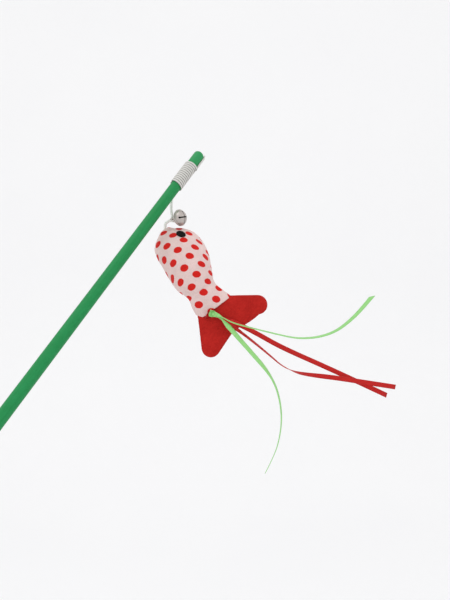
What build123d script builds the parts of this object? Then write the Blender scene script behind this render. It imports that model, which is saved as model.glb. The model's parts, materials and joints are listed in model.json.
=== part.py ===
from build123d import *
from math import asin, atan, ceil, cos, degrees, pi, radians, sin, sqrt, tan
import os

# Cat teaser wand: a slim rod with an elastic cord wound on its tip, and on the cord a jingle bell
# and a stuffed fish with a felt tail and two folded ribbons.
# Lengths are in millimetres and angles in degrees. The origin is the middle of the rod's grip,
# +Z is up, and the rod rises towards +X as it is held.

# Rod
ROD_LENGTH = 400.0
ROD_PITCH = 52.6
GRIP_DIAMETER = 7.2
GRIP_LENGTH = 115.0
TIP_DIAMETER = 6.8
TIP_ROUND = 2.4
BUTT_ROUND = 1.2

# Elastic cord: slack where it hangs, stretched thin where it is wound on the rod
CORD_DIAMETER = 1.8
WOUND_DIAMETER = 1.05
WINDING_TURNS = 12
WINDING_PITCH = 1.48
WINDING_BELOW_TIP = 9.9
WINDING_CLEARANCE = 0.05
TAIL_TURN = -36.0
TAIL_BELOW_TIP = 1.6
TAIL_BEND_RADIUS = 1.8
EXIT_TURN = 142.0
CORD_GAP = 0.2
FIRST_RUN = 2.0
BEND_DROP = 3.4
CORD_DROP = 22.1
NOSE_FROM_RING = (-3.1, 4.6, -6.1)

# Knot that holds the bell's loop
KNOT_BEAD_DIAMETER = 2.6
KNOT_BEAD_OFFSET = 1.5
KNOT_FLAT = 1.0

# Jingle bell
BELL_DIAMETER = 10.0
BELL_HEIGHT = 7.6
BELL_WALL = 0.45
CROWN_ANGLE = 66.0
BELL_HEADING = -69.0
BELL_RISE = 3.0
BELL_BAND_HEIGHT = 1.2
BELL_BAND_PROUD = 0.24
BELL_BAND_CLEARANCE = 0.05
SLOT_WIDTH = 0.8
SLOT_HOLE_DIAMETER = 1.2
CROSS_SLOT_WIDTH = 0.4
CROSS_HOLE_DIAMETER = 0.8
SLOT_REACH = 3.6
SLOT_TURN = 12.0
LOOP_WIRE = 0.7
LOOP_HALF_WIDTH = 1.45
LOOP_HEIGHT = 4.4
LOOP_CORD_HEIGHT = 2.6
LOOP_HOLE_CLEARANCE = 0.1
LOOP_LEG_DEPTH = 1.3
LOOP_FOOT = 1.0
LOOP_FOOT_BEND = 0.5
PELLET_DIAMETER = 2.8
PELLET_GAP = 0.3

# Stuffed fish
FISH_HEADING = -35.0
FISH_DIVE = 56.7
FISH_LENGTH = 59.0
FISH_DEPTH = 31.6
FISH_THICKNESS = 23.0
FABRIC = 1.0
SEAM_GAP = 0.1
STUFFING_CLEARANCE = 0.5
NOSE_PIVOT = 1.0
NOSE_KNOT_DIAMETER = 3.6
NOSE_KNOT_DEPTH = 4.6
NOSE_KNOT_FLAT = 1.5
EYE_FROM_NOSE = 9.5
EYE_ABOVE_AXIS = 6.9
EYE_LENGTH = 5.9
EYE_HEIGHT = 3.8
EYE_RISE = 1.0
EYE_CLEARANCE = 0.08
EYE_TILT = 38.0
# Along the body, then the back, the belly and half the thickness at each station
STATION_SHARES = (0.0, 0.045, 0.11, 0.2, 0.33, 0.48, 0.63, 0.79, 0.9, 1.0)
BACK_SHARES = (0.083, 0.18, 0.337, 0.459, 0.508, 0.478, 0.369, 0.247, 0.325, 0.384)
BELLY_SHARES = (0.095, 0.226, 0.36, 0.439, 0.466, 0.497, 0.489, 0.378, 0.398, 0.41)
HALF_THICKNESS_SHARES = (0.104, 0.19, 0.313, 0.417, 0.487, 0.5, 0.435, 0.27, 0.183, 0.126)
STUFFING_START_SHARE = 0.2
STUFFING_END_SHARE = 0.79

# Felt tail
FELT = 2.0
TAIL_GAP = 0.3
TAIL_LENGTH = 27.0
TAIL_SPAN = 51.0
ROOT_LENGTH = 8.0
ROOT_WIDTH = 12.0

# Ribbons, and the thread that stitches their folds to the tail
RIBBON_WIDTH = 3.1
RIBBON_THICKNESS = 0.3
RIBBON_LAYER = 0.9
RIBBON_TO_FELT = 0.25
RIBBON_LEAN = 24.0
FOLD_LEG = 2.6
FOLD_BACK = 0.9
STITCH_BEYOND_HEM = 3.6
STITCH_BELOW_AXIS = 3.9
THREAD_DIAMETER = 0.8
THREAD_CLEARANCE = 0.08
THREAD_HEAD_DIAMETER = 1.8
THREAD_HEAD = 0.7
RIBBON_SECTION_COUNT = 28
# Routes from the hem's centre: beyond the hem, up the tail and behind its mid-plane
GREEN_UPPER_ROUTE = [
    (14.4, 3.0, -7.5), (19.9, 7.8, -9.5), (26.9, 14.2, -10.5), (35.7, 22.5, -11.5), (42.8, 29.4, -12.5),
    (47.1, 35.3, -13.2), (51.3, 43.4, -14.0), (53.7, 53.2, -15.0), (53.0, 62.7, -16.0), (51.0, 72.4, -17.0),
    (47.1, 84.1, -18.0),
]
GREEN_LOWER_ROUTE = [
    (12.0, -0.7, -5.2), (18.5, 0.4, -7.8), (27.6, 1.7, -9.8), (39.8, 3.5, -11.0), (50.9, 5.0, -12.0),
    (60.5, 4.7, -13.0), (70.2, 1.8, -14.0), (80.1, -3.4, -15.0), (88.4, -10.4, -16.0), (95.6, -18.9, -17.0),
    (101.6, -30.0, -17.5),
]
RED_UPPER_ROUTE = [
    (18.5, 6.3, -1.6), (30.0, 12.8, -1.8), (45.7, 20.8, -2.2), (77.2, 41.3, -2.6), (107.9, 60.1, -3.0),
]
RED_LOWER_ROUTE = [
    (20.7, 3.7, -4.2), (34.0, 8.3, -5.0), (46.5, 12.1, -5.4), (55.1, 14.5, -5.8), (63.0, 19.4, -6.2),
    (68.7, 25.5, -6.6), (79.5, 38.6, -7.2), (92.6, 53.2, -7.8), (104.5, 66.5, -8.4),
]
# A ribbon's turn about its own length, by share of that length: 0 shows its face, 90 its edge
GREEN_UPPER_TWIST = [(0.0, 0.0), (0.1, 80.0), (0.45, 80.0), (0.75, 72.0), (1.0, 57.0)]
GREEN_LOWER_TWIST = [(0.0, 0.0), (0.12, 20.0), (0.22, 36.0), (0.36, 42.0), (0.47, 70.0), (1.0, 75.0)]
RED_UPPER_TWIST = [(0.0, 0.0), (0.3, 6.0), (1.0, 12.0)]
RED_LOWER_TWIST = [(0.0, 0.0), (0.16, 62.0), (0.36, 76.0), (0.45, 88.0), (0.52, 130.0), (0.64, 168.0)]

CUT = 2.0
ARC_SHARE = 0.45
QUARTER = 90.0
FULL_TURN = 360.0

up = Vector(0, 0, 1)
nodes = {}


def heading_vector(heading, rise):
    """A unit direction from its compass angle in the XY plane and its rise above it."""
    flat = cos(radians(rise))
    return Vector(flat * cos(radians(heading)), flat * sin(radians(heading)), sin(radians(rise)))


def tube(path, diameter):
    """A round tube along a path, whose volume is compared with its section times its length."""
    section = Plane(origin=path @ 0, z_dir=path % 0) * Circle(diameter / 2)
    solid = sweep(section, path=path)
    ideal = pi * diameter ** 2 / 4 * path.length
    share = solid.volume / ideal
    print(f"tube {diameter:.2f} mm, {path.length:.2f} mm long, {share:.4f} of its section times length")
    return solid


def rounded_route(points, name):
    """Straight runs joined by the largest tangent arcs that the runs allow."""
    radii = []
    for before, corner, after in zip(points, points[1:], points[2:]):
        turn = (corner - before).get_angle(after - corner)
        run = min((corner - before).length, (after - corner).length)
        radii.append(ARC_SHARE * run / tan(radians(turn) / 2))
    print(f"{name} radii:", [round(radius, 1) for radius in radii])
    return FilletPolyline(*points, radius=radii)


def ball(place, diameter):
    return Pos(*place) * Sphere(diameter / 2)


# Rod
rod_axis = heading_vector(0, ROD_PITCH)
grip_middle = (BUTT_ROUND + GRIP_LENGTH) / 2
butt_point = rod_axis * -grip_middle
rod_plane = Plane(origin=butt_point, x_dir=heading_vector(0, ROD_PITCH - QUARTER), z_dir=rod_axis)


def rod_radius(below_tip):
    taper = (GRIP_DIAMETER - TIP_DIAMETER) / (ROD_LENGTH - GRIP_LENGTH)
    return (TIP_DIAMETER + taper * below_tip) / 2


def rod():
    """A straight grip and a slight taper to the domed tip."""
    grip, tip = GRIP_DIAMETER / 2, TIP_DIAMETER / 2
    outline = Polyline((0, 0), (grip, 0), (grip, GRIP_LENGTH), (tip, ROD_LENGTH), (0, ROD_LENGTH), close=True)
    solid = revolve(Plane.XZ * make_face(outline), Axis.Z)
    rims = solid.edges().filter_by(GeomType.CIRCLE).sort_by(Axis.Z)
    solid = fillet(rims[-1], TIP_ROUND)
    rims = solid.edges().filter_by(GeomType.CIRCLE).sort_by(Axis.Z)
    return fillet(rims[0], BUTT_ROUND)


# Winding: the cord lies along the tip, bends round the rod, is wound towards the butt and leaves it
winding_foot = WINDING_BELOW_TIP + WINDING_PITCH * WINDING_TURNS + WOUND_DIAMETER
winding_radius = rod_radius(winding_foot) + WINDING_CLEARANCE + WOUND_DIAMETER / 2
winding_dip = degrees(atan(WINDING_PITCH / (2 * pi * winding_radius)))


def on_rod(turn, along):
    return Vector(winding_radius * cos(radians(turn)), winding_radius * sin(radians(turn)), along)


def round_rod(turn, dip):
    """The cord's direction round the rod, dipping towards the butt."""
    circling = Vector(sin(radians(turn)), -cos(radians(turn)), 0)
    return circling * cos(radians(dip)) - up * sin(radians(dip))


def biarc(start, start_way, end, end_way):
    """Two arcs that leave start along start_way, join smoothly and reach end along end_way."""
    span = end - start
    spread = 2 * (1 - start_way.dot(end_way))
    along = span.dot(start_way + end_way)
    reach = (sqrt(along ** 2 + spread * span.dot(span)) - along) / spread
    first, second = start + start_way * reach, end - end_way * reach
    middle = (first + second) / 2
    return [
        TangentArc(start, middle, tangent=start_way),
        TangentArc(middle, end, tangent=(second - first).normalized()),
    ]


def winding_stations():
    """Turn, height and dip along the bend and then at each quarter turn of the winding."""
    top = ROD_LENGTH - WINDING_BELOW_TIP - WOUND_DIAMETER / 2 + TAIL_BEND_RADIUS
    stations = []
    for dip in (QUARTER, QUARTER / 2, winding_dip):
        swing = radians(QUARTER - dip)
        turned = degrees(TAIL_BEND_RADIUS * (1 - cos(swing)) / winding_radius)
        stations.append((TAIL_TURN - turned, top - TAIL_BEND_RADIUS * sin(swing), dip))
    turn, along, dip = stations[-1]
    sweep_angle = turn - (EXIT_TURN - FULL_TURN * WINDING_TURNS)
    quarters = ceil(sweep_angle / QUARTER)
    for quarter in range(1, quarters + 1):
        share = quarter / quarters
        drop = WINDING_PITCH * sweep_angle * share / FULL_TURN
        stations.append((turn - sweep_angle * share, along - drop, dip))
    return stations


def winding_path():
    stations = winding_stations()
    first_turn, first_along, first_dip = stations[0]
    edges = [Line(on_rod(first_turn, ROD_LENGTH - TAIL_BELOW_TIP), on_rod(first_turn, first_along))]
    for before, after in zip(stations, stations[1:]):
        start_way, end_way = round_rod(before[0], before[2]), round_rod(after[0], after[2])
        edges += biarc(on_rod(*before[:2]), start_way, on_rod(*after[:2]), end_way)
    last_turn, last_along, last_dip = stations[-1]
    last = on_rod(last_turn, last_along)
    edges.append(Line(last, last + round_rod(last_turn, last_dip) * WOUND_DIAMETER))
    return Wire(edges)


def least_self_gap(path, diameter, samples):
    """The least space between stretches of the tube that are more than half a turn apart."""
    points = [path.position_at(step / samples) for step in range(samples + 1)]
    apart = int(samples * pi * winding_radius / path.length)
    return min(
        (points[later] - points[earlier]).length - diameter
        for earlier in range(samples)
        for later in range(earlier + apart, samples + 1)
    )


wound_path = winding_path()
GAP_SAMPLES = 40 * WINDING_TURNS
print(f"winding's least gap to itself: {least_self_gap(wound_path, WOUND_DIAMETER, GAP_SAMPLES):.3f} mm")
nodes["rod"] = rod_plane.location * rod()
nodes["cord_winding"] = rod_plane.location * tube(wound_path, WOUND_DIAMETER)

# Cord: it leaves the winding, bends down, hangs to the bell's ring and goes on to the fish's nose
wound_end = rod_plane.from_local_coords(wound_path @ 1)
exit_way = (rod_plane.from_local_coords(wound_path @ 1 + wound_path % 1) - wound_end).normalized()
swing_point = wound_end + exit_way * (CORD_DIAMETER / 2 + CORD_GAP)
bend_corner = swing_point + exit_way * FIRST_RUN
sway_point = bend_corner - up * BEND_DROP
ring_point = bend_corner - up * CORD_DROP
fish_origin = ring_point + Vector(*NOSE_FROM_RING)
fish_axis = heading_vector(FISH_HEADING, -FISH_DIVE)
fish_back = heading_vector(FISH_HEADING, QUARTER - FISH_DIVE)
fish_plane = Plane(origin=fish_origin, x_dir=fish_axis, z_dir=fish_back)
nod_point = fish_origin - fish_axis * NOSE_PIVOT
upper_bead = ring_point + up * KNOT_BEAD_OFFSET
lower_bead = ring_point - up * KNOT_BEAD_OFFSET
lower_way = (nod_point - lower_bead).normalized()

bend_end = sway_point + up * (CORD_DIAMETER / 2 + CORD_GAP)
bend_path = rounded_route([swing_point, bend_corner, bend_end], "cord_bend")
nodes["cord_bend"] = tube(bend_path, CORD_DIAMETER) + ball(swing_point, CORD_DIAMETER)
upper_path = Line(sway_point, upper_bead + up * KNOT_FLAT)
nodes["cord_upper"] = tube(upper_path, CORD_DIAMETER) + ball(sway_point, CORD_DIAMETER)
lower_path = Line(lower_bead + lower_way * KNOT_FLAT, nod_point)
nodes["cord_lower"] = tube(lower_path, CORD_DIAMETER) + ball(nod_point, CORD_DIAMETER)


def bell_knot():
    """Two beads of knotted cord with the bell's loop between them, flat where the cord goes on."""
    waist = Pos(*ring_point) * Cylinder(CORD_DIAMETER / 2, 2 * KNOT_BEAD_OFFSET)
    beads = ball(upper_bead, KNOT_BEAD_DIAMETER) + ball(lower_bead, KNOT_BEAD_DIAMETER)
    slab = Cylinder(
        KNOT_BEAD_DIAMETER, KNOT_BEAD_DIAMETER, align=(Align.CENTER, Align.CENTER, Align.MIN)
    )
    above = Plane(origin=upper_bead + up * KNOT_FLAT, z_dir=up).location * slab
    beyond = Plane(origin=lower_bead + lower_way * KNOT_FLAT, z_dir=lower_way).location * slab
    return waist + beads - above - beyond


nodes["bell_knot"] = bell_knot()

# Bell: local Z runs from the loop to the slotted pole, and local Y is up
bell_axis = heading_vector(BELL_HEADING, BELL_RISE)
bell_half_height = BELL_HEIGHT / 2
crown_height = bell_half_height * sin(radians(CROWN_ANGLE))
bell_centre = ring_point + bell_axis * (crown_height + LOOP_CORD_HEIGHT)
bell_plane = Plane(origin=bell_centre, x_dir=up.cross(bell_axis), z_dir=bell_axis)


def bell_half(crown_angle):
    """Half of the bell's wall: a revolved stretch of an ellipse, flat above the crown angle."""
    outer_x, outer_z = BELL_DIAMETER / 2, bell_half_height
    inner_x, inner_z = outer_x - BELL_WALL, outer_z - BELL_WALL
    flat_z = outer_z * sin(radians(crown_angle))
    inner_angle = degrees(asin((flat_z - BELL_WALL) / inner_z))
    outer = EllipticalCenterArc((0, 0), outer_x, outer_z, arc_size=crown_angle)
    inner = EllipticalCenterArc((0, 0), inner_x, inner_z, arc_size=inner_angle)
    axis_top, axis_low = (0, flat_z), (0, flat_z - BELL_WALL)
    edges = [outer, Line(axis_top, axis_low), inner, Line(inner @ 0, outer @ 0)]
    if crown_angle < QUARTER:
        edges += [Line(outer @ 1, axis_top), Line(axis_low, inner @ 1)]
    return revolve(Plane.XZ * make_face(Wire(edges)), Axis.Z)


def bell_upper_shell():
    """The plain half, with a hole for each leg of the loop."""
    hole = Cylinder((LOOP_WIRE / 2 + LOOP_HOLE_CLEARANCE), BELL_HEIGHT)
    holes = [Pos(side * LOOP_HALF_WIDTH, 0, -crown_height) * hole for side in (-1, 1)]
    return Rot(2 * QUARTER, 0, 0) * bell_half(CROWN_ANGLE) - holes


def bell_lower_shell():
    """The slotted half: one open slot, one pinched nearly shut, and the band crimped over the joint."""
    bore = BELL_DIAMETER / 2 + BELL_BAND_CLEARANCE
    band = Cylinder(BELL_DIAMETER / 2 + BELL_BAND_PROUD, BELL_BAND_HEIGHT)
    band = fillet(band.edges(), BELL_BAND_PROUD / 2)
    hollow = Pos(0, 0, -BELL_BAND_HEIGHT / 2) * Cylinder(bore, BELL_BAND_HEIGHT)
    inside = Cylinder((BELL_DIAMETER - BELL_WALL) / 2, BELL_BAND_HEIGHT)
    shell = bell_half(QUARTER) + (band - hollow - inside)
    above = Pos(0, 0, bell_half_height)
    for turn, width, hole_diameter in (
        (SLOT_TURN, SLOT_WIDTH, SLOT_HOLE_DIAMETER),
        (SLOT_TURN + QUARTER, CROSS_SLOT_WIDTH, CROSS_HOLE_DIAMETER),
    ):
        slot = above * Box(2 * SLOT_REACH, width, BELL_HEIGHT)
        hole = above * Cylinder(hole_diameter / 2, bell_half_height)
        shell -= Rot(0, 0, turn) * slot
        for side in (-1, 1):
            shell -= Rot(0, 0, turn) * Pos(side * SLOT_REACH, 0, 0) * hole
    return shell


def bell_loop():
    """A wire staple through the crown, its feet bent out inside the bell."""
    foot_z = LOOP_LEG_DEPTH - crown_height
    top_z = LOOP_HALF_WIDTH + LOOP_WIRE / 2 - crown_height - LOOP_HEIGHT
    toe = LOOP_HALF_WIDTH + LOOP_FOOT
    leg = FilletPolyline(
        (toe, 0, foot_z), (LOOP_HALF_WIDTH, 0, foot_z), (LOOP_HALF_WIDTH, 0, top_z), radius=LOOP_FOOT_BEND
    )
    crown = ThreePointArc(
        (LOOP_HALF_WIDTH, 0, top_z), (0, 0, top_z - LOOP_HALF_WIDTH), (-LOOP_HALF_WIDTH, 0, top_z)
    )
    other = mirror(leg, Plane.YZ)
    return tube(Wire(leg.edges() + [crown] + other.edges()), LOOP_WIRE)


def bell_pellet():
    drop = BELL_DIAMETER / 2 - BELL_WALL - PELLET_GAP - PELLET_DIAMETER / 2
    return ball((0, -drop, 0), PELLET_DIAMETER)


for name, make in (
    ("bell_loop", bell_loop),
    ("bell_upper_shell", bell_upper_shell),
    ("bell_lower_shell", bell_lower_shell),
    ("bell_pellet", bell_pellet),
):
    nodes[name] = bell_plane.location * make()


# Fish: local X runs from nose to tail, Z to the back, and Y to the far side
def station_sizes(index, inset):
    """Place along the body, back, belly and half thickness at a station, drawn in by inset."""
    return (
        FISH_LENGTH * STATION_SHARES[index],
        FISH_DEPTH * BACK_SHARES[index] - inset,
        FISH_DEPTH * BELLY_SHARES[index] - inset,
        FISH_THICKNESS * HALF_THICKNESS_SHARES[index] - inset,
    )


def side_arc(index, inset, side, seam):
    """One side of a section, from the back seam to the belly seam."""
    along, back, belly, half = station_sizes(index, inset)
    middle = (back - belly) / 2
    ends = (along, side * seam, back), (along, side * seam, -belly)
    return ThreePointArc(ends[0], (along, side * half, middle), ends[1])


def panel_section(index, side):
    """A side panel's section: outer and inner arcs joined by its two seam edges."""
    seam = SEAM_GAP / 2
    outer = side_arc(index, 0, side, seam)
    inner = side_arc(index, FABRIC, side, seam)
    return make_face(Wire([outer, Line(outer @ 1, inner @ 1), inner, Line(inner @ 0, outer @ 0)]))


def body_section(index, inset):
    """The whole section inside both panels: two arcs that meet at the seams."""
    near, far = side_arc(index, inset, -1, 0), side_arc(index, inset, 1, 0)
    return make_face(Wire([near, far]))


def fish_panel(side):
    return loft([panel_section(index, side) for index in range(len(STATION_SHARES))])


def fish_body(inset, start_share=0.0, end_share=1.0):
    """The filled body between two shares of its length, drawn in by inset."""
    stations = [index for index, share in enumerate(STATION_SHARES) if start_share <= share <= end_share]
    return loft([body_section(index, inset) for index in stations])


def fish_stuffing():
    return fish_body(FABRIC + STUFFING_CLEARANCE, STUFFING_START_SHARE, STUFFING_END_SHARE)


def fish_eye(side):
    """An oval pad that follows the side of the head."""
    oval = Rot(0, 0, EYE_TILT) * Ellipse(EYE_LENGTH / 2, EYE_HEIGHT / 2)
    place = Plane(origin=(EYE_FROM_NOSE, 0, EYE_ABOVE_AXIS), x_dir=(1, 0, 0), z_dir=(0, -1, 0))
    column = extrude(place * oval, -side * FISH_THICKNESS)
    return column & (fish_body(-EYE_RISE) - fish_body(-EYE_CLEARANCE))


def nose_cord():
    start = CORD_DIAMETER / 2 + CORD_GAP - NOSE_PIVOT
    return tube(Line((start, 0, 0), (NOSE_KNOT_DEPTH - NOSE_KNOT_FLAT, 0, 0)), CORD_DIAMETER)


def nose_knot():
    """The stopper knot inside the nose, flat where the cord comes in."""
    before = (Align.MAX, Align.CENTER, Align.CENTER)
    cap = Box(NOSE_KNOT_DIAMETER, NOSE_KNOT_DIAMETER, NOSE_KNOT_DIAMETER, align=before)
    knot = ball((NOSE_KNOT_DEPTH, 0, 0), NOSE_KNOT_DIAMETER)
    return knot - Pos(NOSE_KNOT_DEPTH - NOSE_KNOT_FLAT, 0, 0) * cap


# Tail: a felt fin that flaps on the hem, and the tab of the same felt that is sewn into the hem
flap_along = FISH_LENGTH + TAIL_GAP + FELT / 2
# The fin's outline: shares of its length beyond the hem, and of its span up from the body's axis
FIN_BELLY_SHARES = (0.0, -0.275)
FIN_LOWER_EDGE_SHARES = (0.665, -0.443)
FIN_LOWER_TIP_SHARES = (0.957, -0.412)
FIN_LOWER_INNER_SHARES = (0.992, -0.296)
FIN_NOTCH_SHARES = (0.716, 0.04)
FIN_UPPER_INNER_SHARES = (0.735, 0.402)
FIN_UPPER_TIP_SHARES = (0.591, 0.571)
FIN_UPPER_EDGE_SHARES = (0.3, 0.516)
FIN_BACK_SHARES = (0.0, 0.28)


def fin_point(shares):
    return (flap_along + shares[0] * (TAIL_LENGTH - TAIL_GAP - FELT / 2), shares[1] * TAIL_SPAN)


def tail_fin(stitch_hole):
    """Two round lobes with a notch between them, and a rounded edge along the hinge line."""
    belly, back = fin_point(FIN_BELLY_SHARES), fin_point(FIN_BACK_SHARES)
    lower_edge, lower_inner = fin_point(FIN_LOWER_EDGE_SHARES), fin_point(FIN_LOWER_INNER_SHARES)
    upper_inner, upper_edge = fin_point(FIN_UPPER_INNER_SHARES), fin_point(FIN_UPPER_EDGE_SHARES)
    notch = fin_point(FIN_NOTCH_SHARES)
    outline = Wire(
        [
            Line(belly, lower_edge),
            ThreePointArc(lower_edge, fin_point(FIN_LOWER_TIP_SHARES), lower_inner),
            Line(lower_inner, notch),
            Line(notch, upper_inner),
            ThreePointArc(upper_inner, fin_point(FIN_UPPER_TIP_SHARES), upper_edge),
            Line(upper_edge, back),
            Line(back, belly),
        ]
    )
    sheet = extrude(Plane.XZ * make_face(outline), FELT / 2, both=True)
    width = back[1] - belly[1]
    hinge = Pos(flap_along, 0, (back[1] + belly[1]) / 2) * Cylinder(FELT / 2, width)
    return sheet + hinge - stitch_hole


def tail_root():
    before = (Align.MAX, Align.CENTER, Align.CENTER)
    return Pos(FISH_LENGTH, 0, 0) * Box(ROOT_LENGTH, FELT, ROOT_WIDTH, align=before)


# Ribbons: each is folded in half, and a thread through both folds holds them to the tail
stitch_along = FISH_LENGTH + STITCH_BEYOND_HEM
red_rear = -(FELT / 2 + RIBBON_TO_FELT + RIBBON_THICKNESS / 2)
red_front, green_rear, green_front = (red_rear - RIBBON_LAYER * layer for layer in (1, 2, 3))
lean_way = Vector(cos(radians(RIBBON_LEAN)), 0, sin(radians(RIBBON_LEAN)))
lean_across = Vector(-sin(radians(RIBBON_LEAN)), 0, cos(radians(RIBBON_LEAN)))
far_way = Vector(0, 1, 0)


def at_stitch(along_lean, behind):
    return Vector(stitch_along, behind, -STITCH_BELOW_AXIS) + lean_way * along_lean


def thread_rod(diameter, front, back):
    """A round bar along the thread, between two places behind the tail's mid-plane."""
    place = Plane(origin=at_stitch(0, front), z_dir=far_way)
    onward = (Align.CENTER, Align.CENTER, Align.MIN)
    return place.location * Cylinder(diameter / 2, back - front, align=onward)


def ribbon_fold(front, rear):
    """The folded end of a ribbon, open towards the tails, with the thread's hole through both layers."""
    turn = ThreePointArc(
        at_stitch(-FOLD_BACK, front),
        at_stitch(-FOLD_BACK - RIBBON_LAYER / 2, (front + rear) / 2),
        at_stitch(-FOLD_BACK, rear),
    )
    path = Wire(
        [
            Line(at_stitch(FOLD_LEG, front), at_stitch(-FOLD_BACK, front)),
            turn,
            Line(at_stitch(-FOLD_BACK, rear), at_stitch(FOLD_LEG, rear)),
        ]
    )
    place = Plane(origin=path @ 0, x_dir=lean_across, z_dir=path % 0)
    section = place * Rectangle(RIBBON_WIDTH, RIBBON_THICKNESS)
    hole = thread_rod(THREAD_DIAMETER + 2 * THREAD_CLEARANCE, front - CUT, rear + CUT)
    return sweep(section, path=path) - hole


def turn_at(twist, share):
    """The ribbon's turn about its length at a share of that length."""
    for (start, first), (end, last) in zip(twist, twist[1:]):
        if share <= end:
            return first + (last - first) * (share - start) / (end - start)
    return twist[-1][1]


def ribbon_tail(name, layer, route, twist):
    """A flat strip from the fold's leg along the rounded route, turning about its length."""
    leg_end = at_stitch(FOLD_LEG, layer)
    points = [leg_end, leg_end + lean_way * FOLD_BACK * 2]
    points += [Vector(FISH_LENGTH + along, behind, across) for along, across, behind in route]
    path = rounded_route(points, name)
    sections = []
    for station in range(RIBBON_SECTION_COUNT + 1):
        share = station / RIBBON_SECTION_COUNT
        way = path % share
        face_across = far_way.cross(way).normalized() * -1
        turn = radians(turn_at(twist, share))
        across = face_across * cos(turn) - way.cross(face_across) * sin(turn)
        place = Plane(origin=path @ share, x_dir=across, z_dir=way)
        sections.append(place * Rectangle(RIBBON_WIDTH, RIBBON_THICKNESS))
    strip = loft(sections, ruled=True)
    ideal = RIBBON_WIDTH * RIBBON_THICKNESS * path.length
    print(f"{name} {path.length:.1f} mm long, volume {strip.volume / ideal:.4f} of its section times length")
    return strip


def ribbon_stitch():
    """The thread through tail and ribbons, with a knot at each end."""
    front = green_front - RIBBON_THICKNESS / 2 - RIBBON_TO_FELT
    back = FELT / 2
    shank = thread_rod(THREAD_DIAMETER, front, back)
    knots = thread_rod(THREAD_HEAD_DIAMETER, front - THREAD_HEAD, front)
    knots += thread_rod(THREAD_HEAD_DIAMETER, back, back + THREAD_HEAD)
    return shank + knots


stitch_hole = thread_rod(THREAD_DIAMETER + 2 * THREAD_CLEARANCE, -FELT, FELT)
fish_parts = {
    "nose_cord": nose_cord(),
    "nose_knot": nose_knot(),
    "fish_left_panel": fish_panel(-1),
    "fish_right_panel": fish_panel(1),
    "fish_stuffing": fish_stuffing(),
    "fish_left_eye": fish_eye(-1),
    "fish_right_eye": fish_eye(1),
    "tail_root": tail_root(),
    "tail_fin": tail_fin(stitch_hole),
    "ribbon_stitch": ribbon_stitch(),
    "green_ribbon_fold": ribbon_fold(green_front, green_rear),
    "red_ribbon_fold": ribbon_fold(red_front, red_rear),
}
for name, layer, route, twist in (
    ("green_ribbon_upper", green_front, GREEN_UPPER_ROUTE, GREEN_UPPER_TWIST),
    ("green_ribbon_lower", green_rear, GREEN_LOWER_ROUTE, GREEN_LOWER_TWIST),
    ("red_ribbon_upper", red_rear, RED_UPPER_ROUTE, RED_UPPER_TWIST),
    ("red_ribbon_lower", red_front, RED_LOWER_ROUTE, RED_LOWER_TWIST),
):
    fish_parts[name] = ribbon_tail(name, layer, route, twist)
for name, shape in fish_parts.items():
    nodes[name] = fish_plane.location * shape

os.makedirs("parts", exist_ok=True)
for name, shape in nodes.items():
    export_step(shape, f"parts/{name}.step")

for name, place in (
    ("swing", swing_point), ("sway", sway_point), ("ring", ring_point), ("bell", bell_centre),
    ("nod", nod_point), ("fish origin", fish_origin), ("winding foot", wound_end),
    ("flap", fish_plane.from_local_coords((flap_along, 0, 0))),
    ("stitch", fish_plane.from_local_coords(at_stitch(0, 0))),
):
    print(name, [round(value, 4) for value in place])
for name, way in (
    ("rod axis", rod_axis), ("fish axis", fish_axis), ("fish back", fish_back), ("fish far", fish_plane.y_dir),
    ("bell axis", bell_axis),
):
    print(name, [round(value, 6) for value in way])
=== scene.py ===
"""Looks of the cat teaser wand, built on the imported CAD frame.

Lengths are in metres and angles in degrees, unless a name or a comment says otherwise.
"""
import json
import math

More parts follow.
